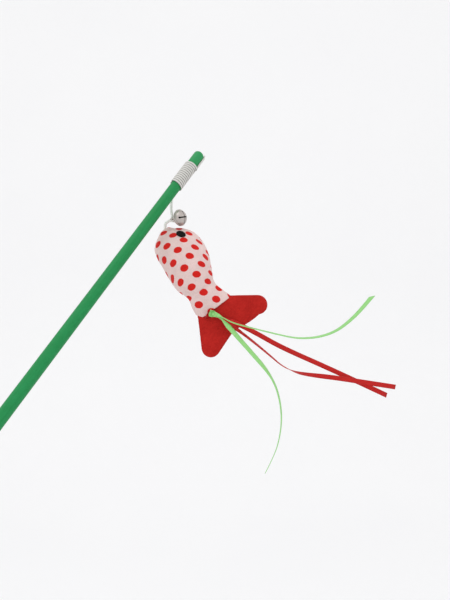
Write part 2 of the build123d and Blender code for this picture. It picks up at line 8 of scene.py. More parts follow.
import bmesh
import bpy
import numpy as np
from mathutils import Vector, noise
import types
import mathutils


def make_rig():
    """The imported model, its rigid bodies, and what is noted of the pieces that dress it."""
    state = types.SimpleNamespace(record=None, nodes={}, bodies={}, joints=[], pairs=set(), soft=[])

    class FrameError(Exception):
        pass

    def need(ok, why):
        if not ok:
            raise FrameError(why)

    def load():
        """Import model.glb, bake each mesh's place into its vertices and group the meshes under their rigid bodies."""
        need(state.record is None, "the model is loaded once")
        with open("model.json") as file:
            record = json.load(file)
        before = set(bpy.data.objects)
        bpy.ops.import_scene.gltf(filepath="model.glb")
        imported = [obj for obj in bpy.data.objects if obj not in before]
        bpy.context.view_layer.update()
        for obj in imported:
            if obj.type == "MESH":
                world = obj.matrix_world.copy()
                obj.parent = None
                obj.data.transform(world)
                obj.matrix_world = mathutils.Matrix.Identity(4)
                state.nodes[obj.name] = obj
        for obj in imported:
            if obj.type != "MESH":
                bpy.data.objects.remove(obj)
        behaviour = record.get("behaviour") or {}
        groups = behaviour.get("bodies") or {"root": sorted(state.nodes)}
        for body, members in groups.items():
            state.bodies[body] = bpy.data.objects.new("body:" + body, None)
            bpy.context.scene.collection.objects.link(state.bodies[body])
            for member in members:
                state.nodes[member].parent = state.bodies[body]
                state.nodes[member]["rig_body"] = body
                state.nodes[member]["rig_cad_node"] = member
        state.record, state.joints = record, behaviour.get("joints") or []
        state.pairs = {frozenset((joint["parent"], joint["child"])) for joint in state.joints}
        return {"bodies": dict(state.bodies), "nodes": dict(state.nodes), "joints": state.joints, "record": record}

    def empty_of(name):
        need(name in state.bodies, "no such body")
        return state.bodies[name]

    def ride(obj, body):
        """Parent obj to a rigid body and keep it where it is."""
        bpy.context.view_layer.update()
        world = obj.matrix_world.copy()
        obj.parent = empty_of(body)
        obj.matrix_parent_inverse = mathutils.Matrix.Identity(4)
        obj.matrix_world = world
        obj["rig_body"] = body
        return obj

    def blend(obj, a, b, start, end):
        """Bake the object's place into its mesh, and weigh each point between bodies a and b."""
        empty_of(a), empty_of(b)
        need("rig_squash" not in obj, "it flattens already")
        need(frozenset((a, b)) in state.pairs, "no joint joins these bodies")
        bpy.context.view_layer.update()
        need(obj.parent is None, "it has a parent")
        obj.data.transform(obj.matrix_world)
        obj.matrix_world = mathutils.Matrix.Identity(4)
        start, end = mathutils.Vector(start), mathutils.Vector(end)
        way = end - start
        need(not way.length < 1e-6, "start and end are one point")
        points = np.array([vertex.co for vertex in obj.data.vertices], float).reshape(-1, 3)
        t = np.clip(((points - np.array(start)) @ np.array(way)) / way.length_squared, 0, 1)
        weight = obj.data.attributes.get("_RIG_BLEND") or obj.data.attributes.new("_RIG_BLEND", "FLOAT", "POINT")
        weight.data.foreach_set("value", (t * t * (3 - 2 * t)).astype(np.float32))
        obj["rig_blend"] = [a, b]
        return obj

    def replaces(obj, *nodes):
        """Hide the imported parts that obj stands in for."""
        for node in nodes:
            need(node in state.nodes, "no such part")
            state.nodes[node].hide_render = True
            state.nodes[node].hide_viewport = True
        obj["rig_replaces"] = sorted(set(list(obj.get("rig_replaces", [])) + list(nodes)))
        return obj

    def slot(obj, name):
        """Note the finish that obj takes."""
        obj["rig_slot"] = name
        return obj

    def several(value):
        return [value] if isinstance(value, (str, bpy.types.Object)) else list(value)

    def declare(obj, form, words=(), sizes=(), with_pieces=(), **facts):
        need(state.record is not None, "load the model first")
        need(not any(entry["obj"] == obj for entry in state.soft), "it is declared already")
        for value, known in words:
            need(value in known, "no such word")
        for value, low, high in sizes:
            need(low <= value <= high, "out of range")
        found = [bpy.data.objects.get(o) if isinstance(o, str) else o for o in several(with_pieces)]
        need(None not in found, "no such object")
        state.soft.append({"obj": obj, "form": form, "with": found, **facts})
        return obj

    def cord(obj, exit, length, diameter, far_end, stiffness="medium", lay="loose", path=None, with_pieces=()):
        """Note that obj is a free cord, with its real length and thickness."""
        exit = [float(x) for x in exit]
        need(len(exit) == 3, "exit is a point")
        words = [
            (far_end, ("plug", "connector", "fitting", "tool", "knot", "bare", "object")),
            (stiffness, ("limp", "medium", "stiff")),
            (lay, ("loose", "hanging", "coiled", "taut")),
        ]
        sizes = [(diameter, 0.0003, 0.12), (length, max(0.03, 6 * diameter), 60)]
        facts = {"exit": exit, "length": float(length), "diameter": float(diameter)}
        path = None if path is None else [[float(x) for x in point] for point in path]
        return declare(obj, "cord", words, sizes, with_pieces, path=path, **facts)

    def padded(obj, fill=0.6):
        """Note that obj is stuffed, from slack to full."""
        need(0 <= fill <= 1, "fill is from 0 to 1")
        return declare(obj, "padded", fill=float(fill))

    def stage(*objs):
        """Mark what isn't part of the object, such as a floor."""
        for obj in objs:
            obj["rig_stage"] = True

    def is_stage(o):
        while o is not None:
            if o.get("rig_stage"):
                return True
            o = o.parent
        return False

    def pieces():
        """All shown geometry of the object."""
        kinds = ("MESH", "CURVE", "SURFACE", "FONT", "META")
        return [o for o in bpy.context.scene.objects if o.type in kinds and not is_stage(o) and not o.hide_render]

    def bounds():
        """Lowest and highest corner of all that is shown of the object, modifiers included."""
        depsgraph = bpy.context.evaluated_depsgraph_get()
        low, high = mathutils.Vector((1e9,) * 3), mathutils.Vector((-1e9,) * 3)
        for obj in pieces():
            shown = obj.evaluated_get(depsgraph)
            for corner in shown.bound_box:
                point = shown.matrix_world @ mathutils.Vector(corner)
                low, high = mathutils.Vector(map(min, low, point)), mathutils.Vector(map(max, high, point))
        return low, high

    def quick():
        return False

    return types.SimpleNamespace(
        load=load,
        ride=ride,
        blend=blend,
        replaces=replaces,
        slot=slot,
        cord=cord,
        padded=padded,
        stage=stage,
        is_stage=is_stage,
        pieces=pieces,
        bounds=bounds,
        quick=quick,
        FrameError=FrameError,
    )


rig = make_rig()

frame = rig.load()
cad_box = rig.bounds()

MM = 0.001

# Camera and stage
CAMERA_PLACE = (0.0470, -0.2586, 0.1762)
CAMERA_HEADING = -34.877
CAMERA_LENS_MM = 28.0
CAMERA_LONG_SIDE_MM = 36.0
CAMERA_CLIP_START = 0.005
FLOOR_DROP = 0.35
FLOOR_REACH = 3.0
BACKDROP_DISTANCE = 1.6
BACKDROP_HEIGHT = 3.0
BACKDROP_BEND = 0.7
BACKDROP_STEPS = 13
WORLD_STRENGTH = 1.0
KEY_PLACE = (-0.40, -0.35, 1.20)
KEY_SIZE = 0.9
KEY_POWER = 2.6

# Rod, as in the CAD model, and winding, with its turns side by side
ROD_LENGTH = 0.400
GRIP_LENGTH = 0.115
BUTT_ROUND = 0.0012
GRIP_DIAMETER = 0.0072
TIP_DIAMETER = 0.0068
TIP_ROUND = 0.0024
# Stretch along the rod over which painted light turns it paler towards the tip
PAINTED_TIP_LIGHT_START = 0.312
PAINTED_TIP_LIGHT_END = 0.336
WOUND_WIDTH = 0.0015
WOUND_HEIGHT = 0.00085
WINDING_TURNS = 12
WINDING_BELOW_TIP = 0.01018
FOOT_BELOW_EXIT = 0.0022
TOP_TILT = -0.0007
FOOT_TILT = 0.0003
RIGHT_EDGE_TURN = -29.0
WOUND_UNEVENNESS = 0.00007
# How dark the painted shade between the wound turns gets, and the stretch of the cord in mm where it sets in
GROOVE_SHADE_SHARE = 0.72
GROOVE_SHADE_START_MM = (9.0, 14.0)
LAID_TURN = -31.0
LAID_BELOW_TIP = -0.0001
LAID_END_DEPTH = 0.0008
LAID_HEIGHT = 0.0012
LAID_BEND = 0.0018
LAID_HUMP = 0.0010
HUMP_SPREAD = 24.0
HUMP_FADE = 0.0012
EXIT_TURN = 142.0
STEPS_PER_TURN = 30
LAID_STEPS = 14
BEND_STEPS = 8
LEAD_OUT_SHARES = (0.33, 0.67, 1.0)

# Free cord
CORD_DIAMETER = 0.0018
CORD_LENGTH = 0.0342
BEND_DROP = 0.0034
HITCH_RADIUS = 0.00100
HITCH_THREAD = 0.00055
HITCH_TURNS = 2
HITCH_STEPS_PER_TURN = 24
HITCH_FROM_RING = 0.0009
HITCH_PITCH_SHARE = 0.9
NOSE_ENTRY = 0.0006
CORD_END_DEPTH = 0.0032

# Bell, as in the CAD model
BELL_RADIUS = 0.0050
BELL_HALF_HEIGHT = 0.0038
# Depths, as shares of the outer wall, over which the painted shade inside the bell sets in
BELL_WALL_SHARE = 0.985
BELL_INSIDE_SHARE = 0.95
METAL_ROUGHNESS = 0.40

# Fish: sizes as in the CAD model, with the outline corrected at the belly and the hem
FISH_LENGTH = 0.0590
FISH_DEPTH = 0.0316
FISH_THICKNESS = 0.0230
NOSE_PIVOT = 0.001
STATION_SHARES = (0.0, 0.045, 0.11, 0.2, 0.33, 0.48, 0.63, 0.79, 0.9, 1.0)
BACK_SHARES = (0.083, 0.18, 0.337, 0.459, 0.508, 0.478, 0.369, 0.262, 0.314, 0.384)
BELLY_SHARES = (0.103, 0.25, 0.391, 0.460, 0.478, 0.497, 0.489, 0.398, 0.436, 0.44)
HALF_THICKNESS_SHARES = (0.104, 0.19, 0.313, 0.417, 0.487, 0.5, 0.435, 0.27, 0.183, 0.126)
SKIN_ROWS = 81
SKIN_HALF_COLUMNS = 40
SLACK_THICKNESS_SHARE = 0.93
SIMULATION_SCALE = 20.0
SIMULATION_FRAMES = 14
SIMULATION_PRESSURE = 4.0
SIMULATION_SPARE_SHARE = 0.035
SWELL_CAP = 0.0016
SWELL_FADE_SHARES = (0.72, 0.86)
SEAM_TUCK = 0.00022
SEAM_SPREAD_SHARE = 0.04
STITCH_STEP = 0.0026
WAIST_SHARE = 0.79
WAIST_SPREAD_SHARE = 0.07
WAIST_GATHER_SHARE = 0.8
WAIST_GATHER_RADIANS = 19.0
NOSE_SPREAD_SHARE = 0.05
NOSE_PUCKER_RADIANS = 12.0
HEM_START_SHARE = 0.84
HEM_MIDDLE_REACH = 0.0009
HEM_TILT = -0.0009
HEM_BELLY_ROUND = -0.0045
HEM_BELLY_POWER = 8
HEM_FRAY = 0.00009
# Rows turned in: inset in mm, its share at the seams, reach past the hem in mm, fray, rows back from it
HEM_TURNS = (
    (0.15, 0.25, 0.35, 1.0, 0),
    (0.5, 0.25, 0.6, 2.0, 0),
    (0.95, 0.25, 0.45, 1.0, 0),
    (1.2, 0.25, 0.0, 0.0, 0),
    (1.3, 1.0, 0.0, 0.0, 4),
    (1.5, 1.0, 0.0, 0.0, 9),
)
PILE_HEIGHT = 0.00007
PILE_PER_MM = (1.9, 4.3)
DOT_SPACING_MM = 7.97
DOT_LENGTH_MM = 5.2
DOT_WIDTH_MM = 4.0
DOT_LEAN = 70.0
DOT_TURN = 31.7
DOT_PHASE_SHARES = (0.101, -0.335)
PRINT_BEND_PER_MM = 0.0152
PRINT_CROWD_PER_MM = 0.0073
PRINT_STRETCH_PER_MM = 0.0023
PRINT_TRUE_MM = 30.0
PRINT_HEAD_MM = 1.7
PRINT_HEAD_REACH_MM = 15.0
PRINT_BENT_MM = 36.0
PRINT_FLAT_MM = 54.0
FAR_SIDE_DOT_SHIFT_MM = (3.1, 2.2)
EYE_FROM_NOSE = 0.0095
EYE_ABOVE_AXIS = 0.0069
EYE_LENGTH = 0.0062
EYE_HEIGHT = 0.0038
EYE_RISE = 0.0009
EYE_TILT = 38.0
EYE_SIDES = 36
EYE_PROFILE_SHARES = (
    (0.86, -0.9), (1.0, -0.35), (1.0, 0.1), (0.95, 0.5), (0.8, 0.8), (0.55, 0.95), (0.25, 1.0),
)

# Felt tail and ribbons: sizes as in the CAD model
FELT = 0.002
FELT_EDGE = 0.00035
FELT_VOXEL = 0.00045
SEWN_FELT = 0.0012
SEWN_FELT_SHARE = 0.3
# Heights of the felt's waves in mm, and how fine they are per mm
FELT_WAVES_MM = ((0.10, 0.9), (0.07, 2.3))
FELT_EDGE_WAVE_SHARE = 0.7
FLAP_BEND_START = 0.011
FLAP_BEND_END = 0.0005
TAIL_GAP = 0.0003
TAIL_LENGTH = 0.027
TAIL_SPAN = 0.051
TAIL_CURL = 0.0011
CURL_RADIANS = 5.0
CURL_PHASE_RADIANS = 0.6
RIBBON_WIDTH = 0.0031
RIBBON_THICKNESS = 0.0003
RIBBON_LAYER = 0.0009
RIBBON_TO_FELT = 0.00025
RIBBON_BOW = 0.00006
RIBBON_COLUMNS = 5
FOLD_LEG = 0.0026
FOLD_LEAD = 0.0018
FOLD_ROUND = 0.0022
FOLD_STEPS = 14
FOLD_BEND_STEPS = 12
FOLD_COLUMNS = 13
PLEAT_REACH = 0.0015
PLEAT_HEIGHT = 0.0002
PLEAT_RADIANS = 15.0
SLANT_REACH = 0.004

joints = {joint["name"]: joint for joint in frame["joints"]}
up = Vector((0, 0, 1))


def joint_point(name):
    return Vector(joints[name]["pos_m"])


def joint_axis(name):
    return Vector(joints[name]["axis"]).normalized()


def array(points):
    return np.array([tuple(point) for point in points], float)


# Places worked out from the frame
rod_axis = -Vector(frame["record"]["mounts"][0]["axis"]).normalized()
rod_under = Vector((rod_axis.z, 0, -rod_axis.x))
rod_side = rod_axis.cross(rod_under)
rod_tip = rod_axis * (ROD_LENGTH - (BUTT_ROUND + GRIP_LENGTH) / 2)
swing_point = joint_point("cord_swing")
sway_point = joint_point("cord_sway")
ring_point = joint_point("bell_swivel")
nod_point = joint_point("fish_nod")
stitch_point = joint_point("green_ribbon_swing")
bell_centre = joint_point("pellet_roll")
bell_axis = joint_axis("pellet_roll")
fish_along = joint_axis("fish_roll")
fish_far = joint_axis("fish_nod")
fish_back = joint_axis("tail_flap")
fish_level = fish_far.cross(up)
fish_origin = nod_point + fish_along * NOSE_PIVOT
fish_axes = array([fish_along, fish_far, fish_back])


def fish_place(along, far, back):
    return fish_origin + fish_along * along + fish_far * far + fish_back * back


def in_world(local):
    """Points in the fish's own axes, carried to their place."""
    return np.array(fish_origin) + np.asarray(local) @ fish_axes


# Mesh helpers
def linked(name, data):
    obj = bpy.data.objects.new(name, data)
    bpy.context.scene.collection.objects.link(obj)
    return obj


def add_object(name, mesh):
    mesh.polygons.foreach_set("use_smooth", [True] * len(mesh.polygons))
    mesh.update()
    return linked(name, mesh)


def mesh_object(name, vertices, faces, loop_uv):
    """A smooth mesh with outward faces and one UV pair for each face corner."""
    mesh = bpy.data.meshes.new(name)
    mesh.from_pydata([tuple(vertex) for vertex in vertices], [], faces)
    layer = mesh.uv_layers.new(name="UVMap")
    layer.data.foreach_set("uv", np.array(loop_uv, np.float32).ravel())
    working = bmesh.new()
    working.from_mesh(mesh)
    bmesh.ops.recalc_face_normals(working, faces=working.faces)
    working.to_mesh(mesh)
    working.free()
    return add_object(name, mesh)


def grid_object(name, rows, uv, wrap=True):
    """A mesh over rows of points.

    Rows that wrap round are closed at both ends, and their uv has one column more.
    """
    count, columns = rows.shape[:2]
    vertices = list(rows.reshape(-1, 3))
    faces = []
    loop_uv = []
    for row in range(count - 1):
        for column in range(columns if wrap else columns - 1):
            after = (column + 1) % columns
            here, above = row * columns, (row + 1) * columns
            faces.append((here + column, here + after, above + after, above + column))
            loop_uv += [uv[row, column], uv[row, column + 1], uv[row + 1, column + 1], uv[row + 1, column]]
    if wrap:
        for row in (0, count - 1):
            centre = len(vertices)
            vertices.append(rows[row].mean(axis=0))
            for column in range(columns):
                after = (column + 1) % columns
                faces.append((centre, row * columns + after, row * columns + column))
                loop_uv += [uv[row].mean(axis=0), uv[row, column + 1], uv[row, column]]
    return mesh_object(name, vertices, faces, loop_uv)


def evaluated_mesh(obj):
    bpy.context.view_layer.update()
    return bpy.data.meshes.new_from_object(obj.evaluated_get(bpy.context.evaluated_depsgraph_get()))


def spline_points(points, resolution):
    """Points along the smooth NURBS line that has these control points."""
    curve = bpy.data.curves.new("route", "CURVE")
    curve.dimensions = "3D"
    curve.resolution_u = resolution
    spline = curve.splines.new("NURBS")
    spline.points.add(len(points) - 1)
    for control, point in zip(spline.points, points):
        control.co = (*point, 1)
    spline.order_u = 3
    spline.use_endpoint_u = True
    holder = linked("route", curve)
    mesh = evaluated_mesh(holder)
    line = array(vertex.co for vertex in mesh.vertices)
    bpy.data.objects.remove(holder)
    bpy.data.curves.remove(curve)
    bpy.data.meshes.remove(mesh)
    return line


def lengths_along(path):
    return np.concatenate([[0], np.cumsum(np.linalg.norm(np.diff(path, axis=0), axis=1))])


def unit(vectors):
    return vectors / np.linalg.norm(vectors, axis=-1, keepdims=True)


def tangents(path):
    return unit(np.gradient(path, axis=0))


def carried_normals(path, first):
    """Normals carried along a path with no twist of their own."""
    normals = []
    normal = np.array(first, float)
    for way in tangents(path):
        normal = unit(normal - way * normal.dot(way))
        normals.append(normal)
    return np.array(normals)


def tube_object(name, path, normals, widths, heights, sides):
    """A closed oval tube along a path. Its UVs are in millimetres along and round it."""
    across = np.cross(tangents(path), normals)
    angles = np.linspace(0, 2 * math.pi, sides, endpoint=False)
    ring_across = np.cos(angles)[None, :, None] * across[:, None, :] * (widths / 2)[:, None, None]
    ring_up = np.sin(angles)[None, :, None] * normals[:, None, :] * (heights / 2)[:, None, None]
    rows = path[:, None, :] + ring_across + ring_up
    along_mm = np.repeat(lengths_along(path)[:, None] / MM, sides + 1, axis=1)
    round_mm = np.linspace(0, 1, sides + 1)[None, :] * (math.pi * widths / MM)[:, None]
    return grid_object(name, rows, np.stack([along_mm, round_mm], axis=2))


def rounded_ends(count, ends=3):
    """Sizes along a tube, as shares, that close it with a small round at each end."""
    sizes = np.ones(count)
    for step in range(ends):
        size = math.sqrt(1 - (1 - (step + 0.5) / ends) ** 2)
        sizes[step] = size
        sizes[-1 - step] = size
    return sizes


# Material helpers
def new_material(name, roughness, specular, sheen=0.0):
    material = bpy.data.materials.new(name)
    material.use_nodes = True
    tree = material.node_tree
    shader = tree.nodes["Principled BSDF"]
    shader.inputs["Roughness"].default_value = roughness
    shader.inputs["Specular IOR Level"].default_value = specular
    shader.inputs["Sheen Weight"].default_value = sheen
    return material, tree, shader


def link_or_set(tree, socket, value):
    if isinstance(value, bpy.types.NodeSocket):
        tree.links.new(value, socket)
    else:
        socket.default_value = value


def add_node(tree, kind, values):
    """A shader node with its inputs, by name or by number, set or linked."""
    node = tree.nodes.new(kind)
    for key, value in values.items():
        link_or_set(tree, node.inputs[key], value)
    return node


def maths(tree, operation, first, second=0.0):
    node = add_node(tree, "ShaderNodeMath", {0: first, 1: second})
    node.operation = operation
    return node.outputs[0]


def sum_of(tree, *terms):
    """The sum of values, each times its weight."""
    total = 0.0
    for value, weight in terms:
        total = maths(tree, "ADD", total, maths(tree, "MULTIPLY", value, weight))
    return total


def mixed(tree, share, first, second):
    """A colour between two colours or colour sockets."""
    node = tree.nodes.new("ShaderNodeMix")
    node.data_type = "RGBA"
    link_or_set(tree, node.inputs[0], share)
    for socket, value in ((node.inputs[6], first), (node.inputs[7], second)):
        link_or_set(tree, socket, value if isinstance(value, bpy.types.NodeSocket) else (*value, 1))
    return node.outputs[2]


def ranged(tree, value, low, high, to_low=0.0, to_high=1.0):
    return add_node(tree, "ShaderNodeMapRange", {0: value, 1: low, 2: high, 3: to_low, 4: to_high}).outputs[0]


def object_place(tree):
    return tree.nodes.new("ShaderNodeTexCoord").outputs["Object"]


def noise_at(tree, place, scale, detail, roughness=0.5):
    values = {"Vector": place, "Scale": scale, "Detail": detail, "Roughness": roughness}
    return add_node(tree, "ShaderNodeTexNoise", values).outputs["Fac"]


def grain(tree, scale, detail, roughness=0.5):
    return noise_at(tree, object_place(tree), scale, detail, roughness)


def vector_maths(tree, operation, first, second):
    node = tree.nodes.new("ShaderNodeVectorMath")
    node.operation = operation
    link_or_set(tree, node.inputs[0], first)
    link_or_set(tree, node.inputs["Scale"] if operation == "SCALE" else node.inputs[1], second)
    return node.outputs["Value"] if operation == "DOT_PRODUCT" else node.outputs[0]


def stretched_place(tree, axis, along_scale, across_scale):
    """Object coordinates scaled one way along an axis and another way across it, and the place along it."""
    place = object_place(tree)
    along = vector_maths(tree, "DOT_PRODUCT", place, tuple(axis))
    extra = maths(tree, "MULTIPLY", along, along_scale - across_scale)
    pulled = vector_maths(tree, "SCALE", tuple(axis), extra)
    return vector_maths(tree, "ADD", vector_maths(tree, "SCALE", place, across_scale), pulled), along


def uv_axes(tree):
    source = tree.nodes.new("ShaderNodeUVMap")
    source.uv_map = "UVMap"
    node = add_node(tree, "ShaderNodeSeparateXYZ", {0: source.outputs[0]})
    return node.outputs[0], node.outputs[1]


def set_colour(tree, shader, share, first, second):
    tree.links.new(mixed(tree, share, first, second), shader.inputs["Base Color"])


def set_bump(tree, shader, height, strength, distance):
    bump = add_node(tree, "ShaderNodeBump", {"Height": height, "Strength": strength, "Distance": distance})
    tree.links.new(bump.outputs[0], shader.inputs["Normal"])


def wear(obj, material):
    obj.data.materials.clear()
    obj.data.materials.append(material)


# Materials
# Waves of the braid and of the satin's ribs and threads, in radians per millimetre
BRAID_ALONG, BRAID_ROUND = 11.0, 7.5
SATIN_RIBS, SATIN_THREADS = 17.0, 24.0
# The last rod green is the painted light at the tip
ROD_SHADE, ROD_GREEN, ROD_PAINTED_TIP_LIGHT = (0.009, 0.218, 0.056), (0.015, 0.262, 0.077), (0.027, 0.285, 0.092)
WOUND_SHADE, WOUND_PALE = (0.50, 0.49, 0.46), (0.70, 0.69, 0.66)
CORD_SHADE, CORD_PALE = (0.78, 0.775, 0.745), (0.92, 0.915, 0.89)
# Near black painted shade between the wound turns
PAINTED_GROOVE_SHADE = (0.16, 0.16, 0.145)
GROUND_SHADE, GROUND_PINK = (0.66, 0.49, 0.47), (0.82, 0.63, 0.61)
DOT_SHADE, DOT_RED = (0.52, 0.010, 0.008), (0.70, 0.020, 0.015)
EYE_SHADE, EYE_BLACK = (0.002, 0.002, 0.002), (0.007, 0.0065, 0.0065)
FELT_SHADE, FELT_RED = (0.35, 0.012, 0.010), (0.53, 0.023, 0.018)
# The last nickel colour is the near black painted shade inside the bell
NICKEL_PALE, NICKEL_SHADE, NICKEL_PAINTED_SHADE = (0.56, 0.51, 0.485), (0.45, 0.405, 0.38), (0.012, 0.011, 0.010)
STEEL_PALE, STEEL_SHADE = (0.42, 0.41, 0.40), (0.30, 0.29, 0.28)
GREEN_SATIN_PALE, GREEN_SATIN_SHADE = (0.34, 0.71, 0.25), (0.26, 0.59, 0.19)
RED_SATIN_PALE, RED_SATIN_SHADE = (0.58, 0.014, 0.011), (0.42, 0.008, 0.007)
PAPER_PALE, PAPER_SHADE = (0.93, 0.93, 0.935), (0.91, 0.91, 0.92)


def rod_plastic():
    """Satin green plastic with faint streaks along the rod, and painted light that makes it a little paler at the tip.
    """
    material, tree, shader = new_material("rod_plastic", 0.45, 0.22)
    place, along = stretched_place(tree, rod_axis, 30.0, 900.0)
    streaks = noise_at(tree, place, 1.0, 4.0)
    mottle = grain(tree, 260.0, 2.0)
    tone = sum_of(tree, (streaks, 0.6), (mottle, 0.4))
    colour = mixed(tree, ranged(tree, tone, 0.3, 0.7), ROD_SHADE, ROD_GREEN)
    # Painted light: the green turns paler towards the tip
    painted_tip_light = ranged(tree, along, PAINTED_TIP_LIGHT_START, PAINTED_TIP_LIGHT_END)
    set_colour(tree, shader, painted_tip_light, colour, ROD_PAINTED_TIP_LIGHT)
    tree.links.new(ranged(tree, streaks, 0.3, 0.7, 0.38, 0.52), shader.inputs["Roughness"])
    set_bump(tree, shader, tone, 0.12, 0.00008)
    return material


def elastic_cloth(name, shade, pale, width_mm, groove_shade_share=0.0, laid_mm=(0.0, 1.0)):
    """Off-white elastic in a fine braided cover, with painted shade where one turn lies against the next.

    laid_mm is the stretch of its length over which the painted groove shade begins.
    """
    material, tree, shader = new_material(name, 0.85, 0.2, 0.1)
    along, around = uv_axes(tree)
    waves = [
        maths(tree, "SINE", sum_of(tree, (along, BRAID_ALONG), (around, slant)))
        for slant in (BRAID_ROUND, -BRAID_ROUND)
    ]
    braid = maths(tree, "MAXIMUM", waves[0], waves[1])
    fibres = grain(tree, 3000.0, 2.0)
    height = sum_of(tree, (braid, 0.5), (fibres, 1.0))
    colour = mixed(tree, ranged(tree, height, -0.1, 1.1), shade, pale)
    # Painted shade: the sides of each wound turn, where it lies against the next, are coloured dark
    side = maths(tree, "ABSOLUTE", maths(tree, "COSINE", maths(tree, "MULTIPLY", around, 2 / width_mm)))
    shaded_sides = ranged(tree, side, 0.5, 1.0, 0.0, groove_shade_share)
    painted_groove_shade = maths(tree, "MULTIPLY", shaded_sides, ranged(tree, along, *laid_mm))
    set_colour(tree, shader, painted_groove_shade, colour, PAINTED_GROOVE_SHADE)
    set_bump(tree, shader, height, 0.5, 0.00006)
    return material


def bell_depth(tree):
    """Distance from the bell's middle as a share of its outer wall's: 1 on the wall, less inside it."""
    place = vector_maths(tree, "SUBTRACT", object_place(tree), tuple(bell_centre))
    along = vector_maths(tree, "DOT_PRODUCT", place, tuple(bell_axis))
    square = vector_maths(tree, "DOT_PRODUCT", place, place)
    along_weight = 1 / BELL_HALF_HEIGHT ** 2 - 1 / BELL_RADIUS ** 2
    along_square = maths(tree, "POWER", along, 2.0)
    return maths(tree, "SQRT", sum_of(tree, (square, 1 / BELL_RADIUS ** 2), (along_square, along_weight)))


def nickel(name, pale, shade):
    """Plated metal with faint clouding and fine marks, and painted shade that makes it dark inside the bell."""
    material, tree, shader = new_material(name, METAL_ROUGHNESS, 0.5)
    cloud = grain(tree, 420.0, 4.0, 0.6)
    marks = grain(tree, 2400.0, 3.0)
    plated = mixed(tree, ranged(tree, cloud, 0.35, 0.7), pale, shade)
    # Painted shade: everything inside the bell's outer wall, the pellet included, is coloured near black
    inside = ranged(tree, bell_depth(tree), BELL_WALL_SHARE, BELL_INSIDE_SHARE)
    set_colour(tree, shader, inside, plated, NICKEL_PAINTED_SHADE)
    roughness = ranged(tree, marks, 0.3, 0.7, METAL_ROUGHNESS * 0.85, METAL_ROUGHNESS * 1.2)
    tree.links.new(roughness, shader.inputs["Roughness"])
    shader.inputs["Metallic"].default_value = 1.0
    set_bump(tree, shader, marks, 0.06, 0.00003)
    return material


def dotted_cloth():
    """Pale pink short pile with a square lattice of oval red dots, printed in the panels' own millimetres."""
    material, tree, shader = new_material("dotted_cloth", 0.95, 0.1, 0.12)
    shader.inputs["Sheen Roughness"].default_value = 0.5
    along, around = uv_axes(tree)
    turn = math.radians(DOT_TURN)
    offsets = []
    rows = ((math.cos(turn), math.sin(turn)), (-math.sin(turn), math.cos(turn)))
    for (first, second), phase in zip(rows, DOT_PHASE_SHARES):
        place = sum_of(tree, (along, first / DOT_SPACING_MM), (around, second / DOT_SPACING_MM))
        place = maths(tree, "FRACT", maths(tree, "ADD", place, 0.5 - phase))
        offsets.append(maths(tree, "SUBTRACT", place, 0.5))
    lean = math.radians(DOT_LEAN - DOT_TURN)
    squares = []
    for size, weights in (
        (DOT_LENGTH_MM, (math.cos(lean), math.sin(lean))), (DOT_WIDTH_MM, (-math.sin(lean), math.cos(lean))),
    ):
        off = sum_of(tree, *zip(offsets, weights))
        squares.append(maths(tree, "POWER", maths(tree, "MULTIPLY", off, 2 * DOT_SPACING_MM / size), 2.0))
    reach = maths(tree, "SQRT", maths(tree, "ADD", squares[0], squares[1]))
    wander = grain(tree, 900.0, 3.0)
    reach = sum_of(tree, (reach, 1.0), (maths(tree, "SUBTRACT", wander, 0.5), 0.22))
    dot = ranged(tree, reach, 1.05, 0.95)
    pile = grain(tree, 2600.0, 3.0, 0.6)
    patch = grain(tree, 180.0, 2.0)
    tone = ranged(tree, sum_of(tree, (pile, 0.7), (patch, 0.3)), 0.32, 0.68)
    ground = mixed(tree, tone, GROUND_SHADE, GROUND_PINK)
    set_colour(tree, shader, dot, ground, mixed(tree, tone, DOT_SHADE, DOT_RED))
    set_bump(tree, shader, pile, 0.45, 0.00025)
    return material


def eye_black():
    """Matt black with a soft uneven grain."""
    material, tree, shader = new_material("eye_black", 0.65, 0.12)
    tone = grain(tree, 1500.0, 3.0)
    set_colour(tree, shader, tone, EYE_SHADE, EYE_BLACK)
    tree.links.new(ranged(tree, tone, 0.3, 0.7, 0.55, 0.75), shader.inputs["Roughness"])
    set_bump(tree, shader, tone, 0.25, 0.0001)
    return material


def red_felt():
    """Matted red wool with long stray fibres."""
    material, tree, shader = new_material("red_felt", 1.0, 0.05, 0.08)
    mat = grain(tree, 700.0, 5.0, 0.65)
    patch = grain(tree, 140.0, 3.0)
    strands = noise_at(tree, stretched_place(tree, fish_back, 300.0, 1500.0)[0], 1.0, 3.0)
    tone = sum_of(tree, (mat, 0.45), (patch, 0.35), (strands, 0.2))
    set_colour(tree, shader, ranged(tree, tone, 0.32, 0.68), FELT_SHADE, FELT_RED)
    set_bump(tree, shader, sum_of(tree, (mat, 1.0), (strands, 0.5)), 0.6, 0.0002)
    return material


def satin_ribbon(name, pale, shade):
    """Woven satin: fine cross ribs, warp threads along it and streaks down its length."""
    material, tree, shader = new_material(name, 0.5, 0.2, 0.05)
    along, across = uv_axes(tree)
    ribs = maths(tree, "SINE", maths(tree, "MULTIPLY", along, SATIN_RIBS))
    threads = maths(tree, "SINE", maths(tree, "MULTIPLY", across, SATIN_THREADS))
    place = add_node(tree, "ShaderNodeCombineXYZ", {0: maths(tree, "MULTIPLY", along, 0.15), 1: across})
    streak = noise_at(tree, place.outputs[0], 2.2, 4.0)
    weave = sum_of(tree, (ribs, 0.5), (threads, 0.3))
    tone = sum_of(tree, (streak, 1.0), (weave, 0.08))
    set_colour(tree, shader, ranged(tree, tone, 0.3, 0.7), shade, pale)
    set_bump(tree, shader, weave, 0.25, 0.00003)
    return material


